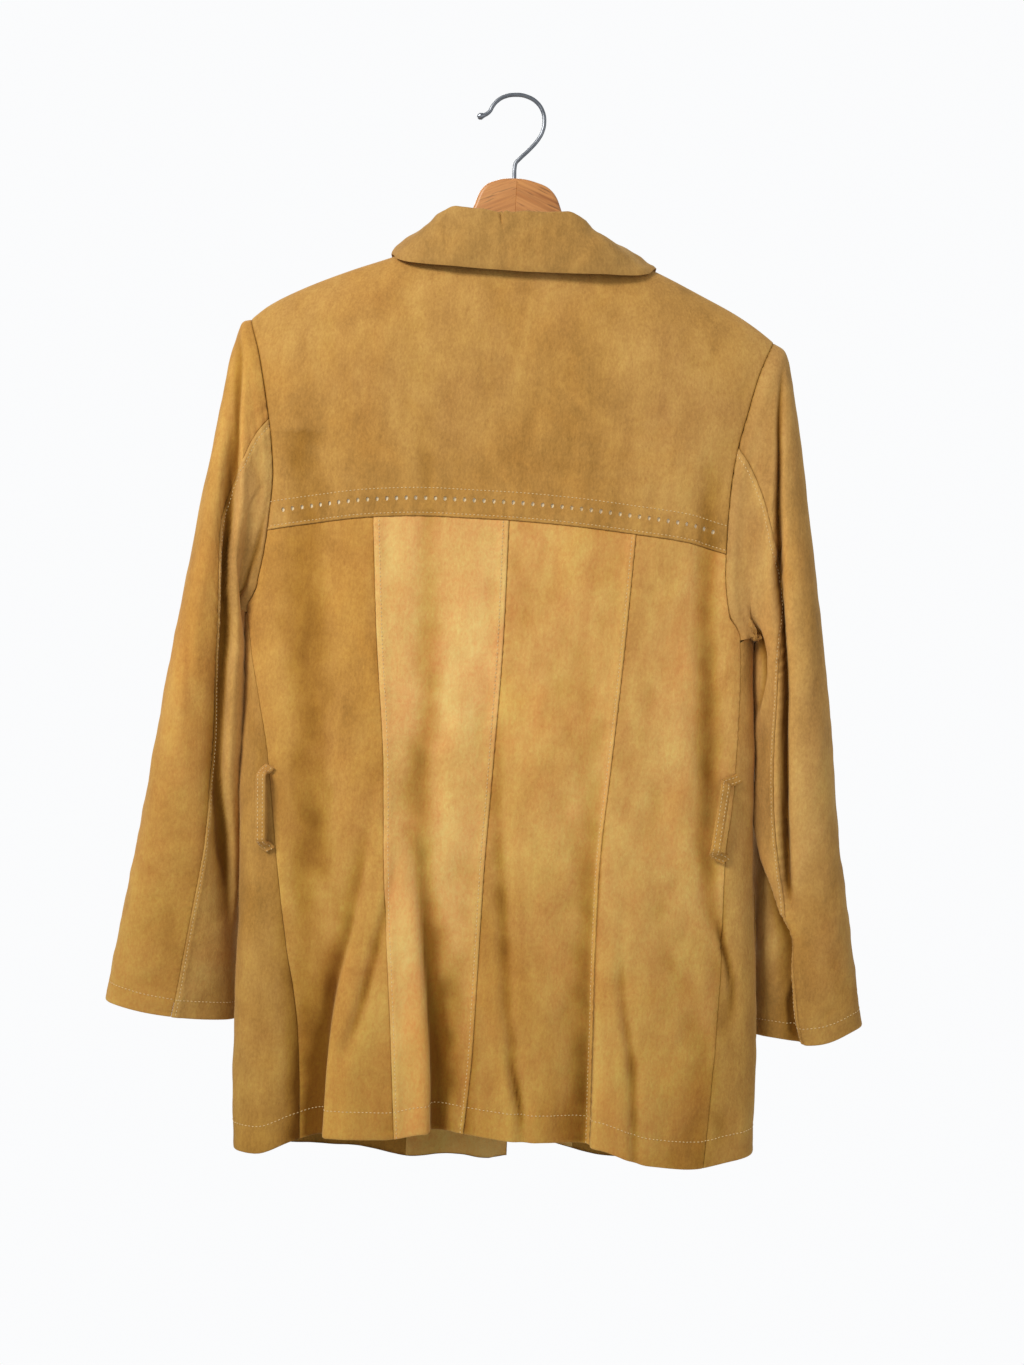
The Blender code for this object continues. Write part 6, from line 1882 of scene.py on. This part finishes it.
class JACKET_OT_hanger(FinishedPiece, bpy.types.Operator):
    """Shape the wooden hanger and bend its hook"""

    bl_idname = "jacket.hanger"
    bl_label = "Hanger"

    def make(self, context):
        colours = context.scene.jacket_colours
        wood, hook = wooden_body(), wire_hook()
        wood.data.materials.clear()
        wood.data.materials.append(beech(colours.wood))
        hook.data.materials.append(steel(colours.wire))
        keep(wood, "beech", "hanger_body")
        keep(hook, "wire", "hanger_hook")


class JACKET_OT_stage(FinishedPiece, bpy.types.Operator):
    """Lay the floor, hang the lights and set the camera"""

    bl_idname = "jacket.stage"
    bl_label = "Stage"

    def make(self, context):
        scene = context.scene
        scene.view_settings.view_transform = "Standard"
        wide, low = 2.2, -2.0
        mesh = bpy.data.meshes.new("floor")
        corners = [(-wide, -wide, low), (wide, -wide, low), (wide, wide, low), (-wide, wide, low)]
        mesh.from_pydata(corners, [], [(0, 1, 2, 3)])
        floor = linked("floor", mesh)
        paint = Paint("Pale floor")
        patches = paint.noise(paint.at(), 3.0, 3)
        colour = paint.ramp(patches, (0.3, (0.80, 0.80, 0.79)), (0.7, (0.84, 0.84, 0.83)))
        floor.data.materials.append(paint.finish(colour, Roughness=0.85))
        scene.world = scene.world or bpy.data.worlds.new("Studio")
        scene.world.use_nodes = True
        tree = scene.world.node_tree
        room = tree.nodes["Background"]
        room.inputs["Color"].default_value = (0.93, 0.96, 1.0, 1)
        room.inputs["Strength"].default_value = ROOM
        seen = tree.nodes.new("ShaderNodeBackground")
        seen.inputs["Color"].default_value = (0.965, 0.970, 0.978, 1)
        rays, both = tree.nodes.new("ShaderNodeLightPath"), tree.nodes.new("ShaderNodeMixShader")
        tree.links.new(rays.outputs["Is Camera Ray"], both.inputs["Fac"])
        tree.links.new(room.outputs[0], both.inputs[1])
        tree.links.new(seen.outputs[0], both.inputs[2])
        tree.links.new(both.outputs[0], tree.nodes["World Output"].inputs["Surface"])
        for name, at, size, power, colour in LAMPS:
            lamp = bpy.data.lights.new(name, "AREA")
            lamp.size, lamp.energy, lamp.color = size, power, colour
            obj = linked(name, lamp)
            obj.location = at
            aim = Vector((0, 0, -0.45)) - Vector(at)
            obj.rotation_euler = aim.to_track_quat("-Z", "Y").to_euler()
        camera = bpy.data.cameras.new("Camera")
        camera.sensor_fit, camera.sensor_height, camera.lens = "VERTICAL", 36.0, 36 * FOCAL
        obj = linked("Camera", camera)
        cos, sin = np.cos(ROLL), np.sin(ROLL)
        obj.matrix_world = Matrix(((-cos, sin, 0, CAMERA[0]), (0, 0, 1, CAMERA[1]),
                                   (sin, cos, 0, CAMERA[2]), (0, 0, 0, 1)))
        scene.camera = obj


class JACKET_PT_panel(bpy.types.Panel):
    """The jacket's sizes, colours and pieces"""

    bl_idname = "JACKET_PT_panel"
    bl_label = "Jacket"
    bl_space_type = "VIEW_3D"
    bl_region_type = "UI"
    bl_category = "Jacket"

    def draw(self, context):
        for group in (context.scene.jacket_sizes, context.scene.jacket_colours):
            box = self.layout.box()
            for name in group.__annotations__:
                box.prop(group, name)
        for kind in OPERATORS:
            self.layout.operator(kind.bl_idname)


OPERATORS = (JACKET_OT_stage, JACKET_OT_hanger, JACKET_OT_body, JACKET_OT_yoke, JACKET_OT_sleeves,
             JACKET_OT_collar, JACKET_OT_trimmings, JACKET_OT_buttons)
CLASSES = (JacketColours, JacketSizes, *OPERATORS, JACKET_PT_panel)


def register():
    for kind in CLASSES:
        bpy.utils.register_class(kind)
    bpy.types.Scene.jacket_colours = PointerProperty(type=JacketColours)
    bpy.types.Scene.jacket_sizes = PointerProperty(type=JacketSizes)


def unregister():
    del bpy.types.Scene.jacket_sizes, bpy.types.Scene.jacket_colours
    for kind in reversed(CLASSES):
        bpy.utils.unregister_class(kind)


def main():
    register()
    bpy.ops.jacket.stage()
    bpy.ops.jacket.hanger()
    bpy.ops.jacket.body()
    bpy.ops.jacket.yoke()
    bpy.ops.jacket.sleeves()
    bpy.ops.jacket.collar()
    bpy.ops.jacket.trimmings()
    bpy.ops.jacket.buttons()


if __name__ == "__main__":
    main()
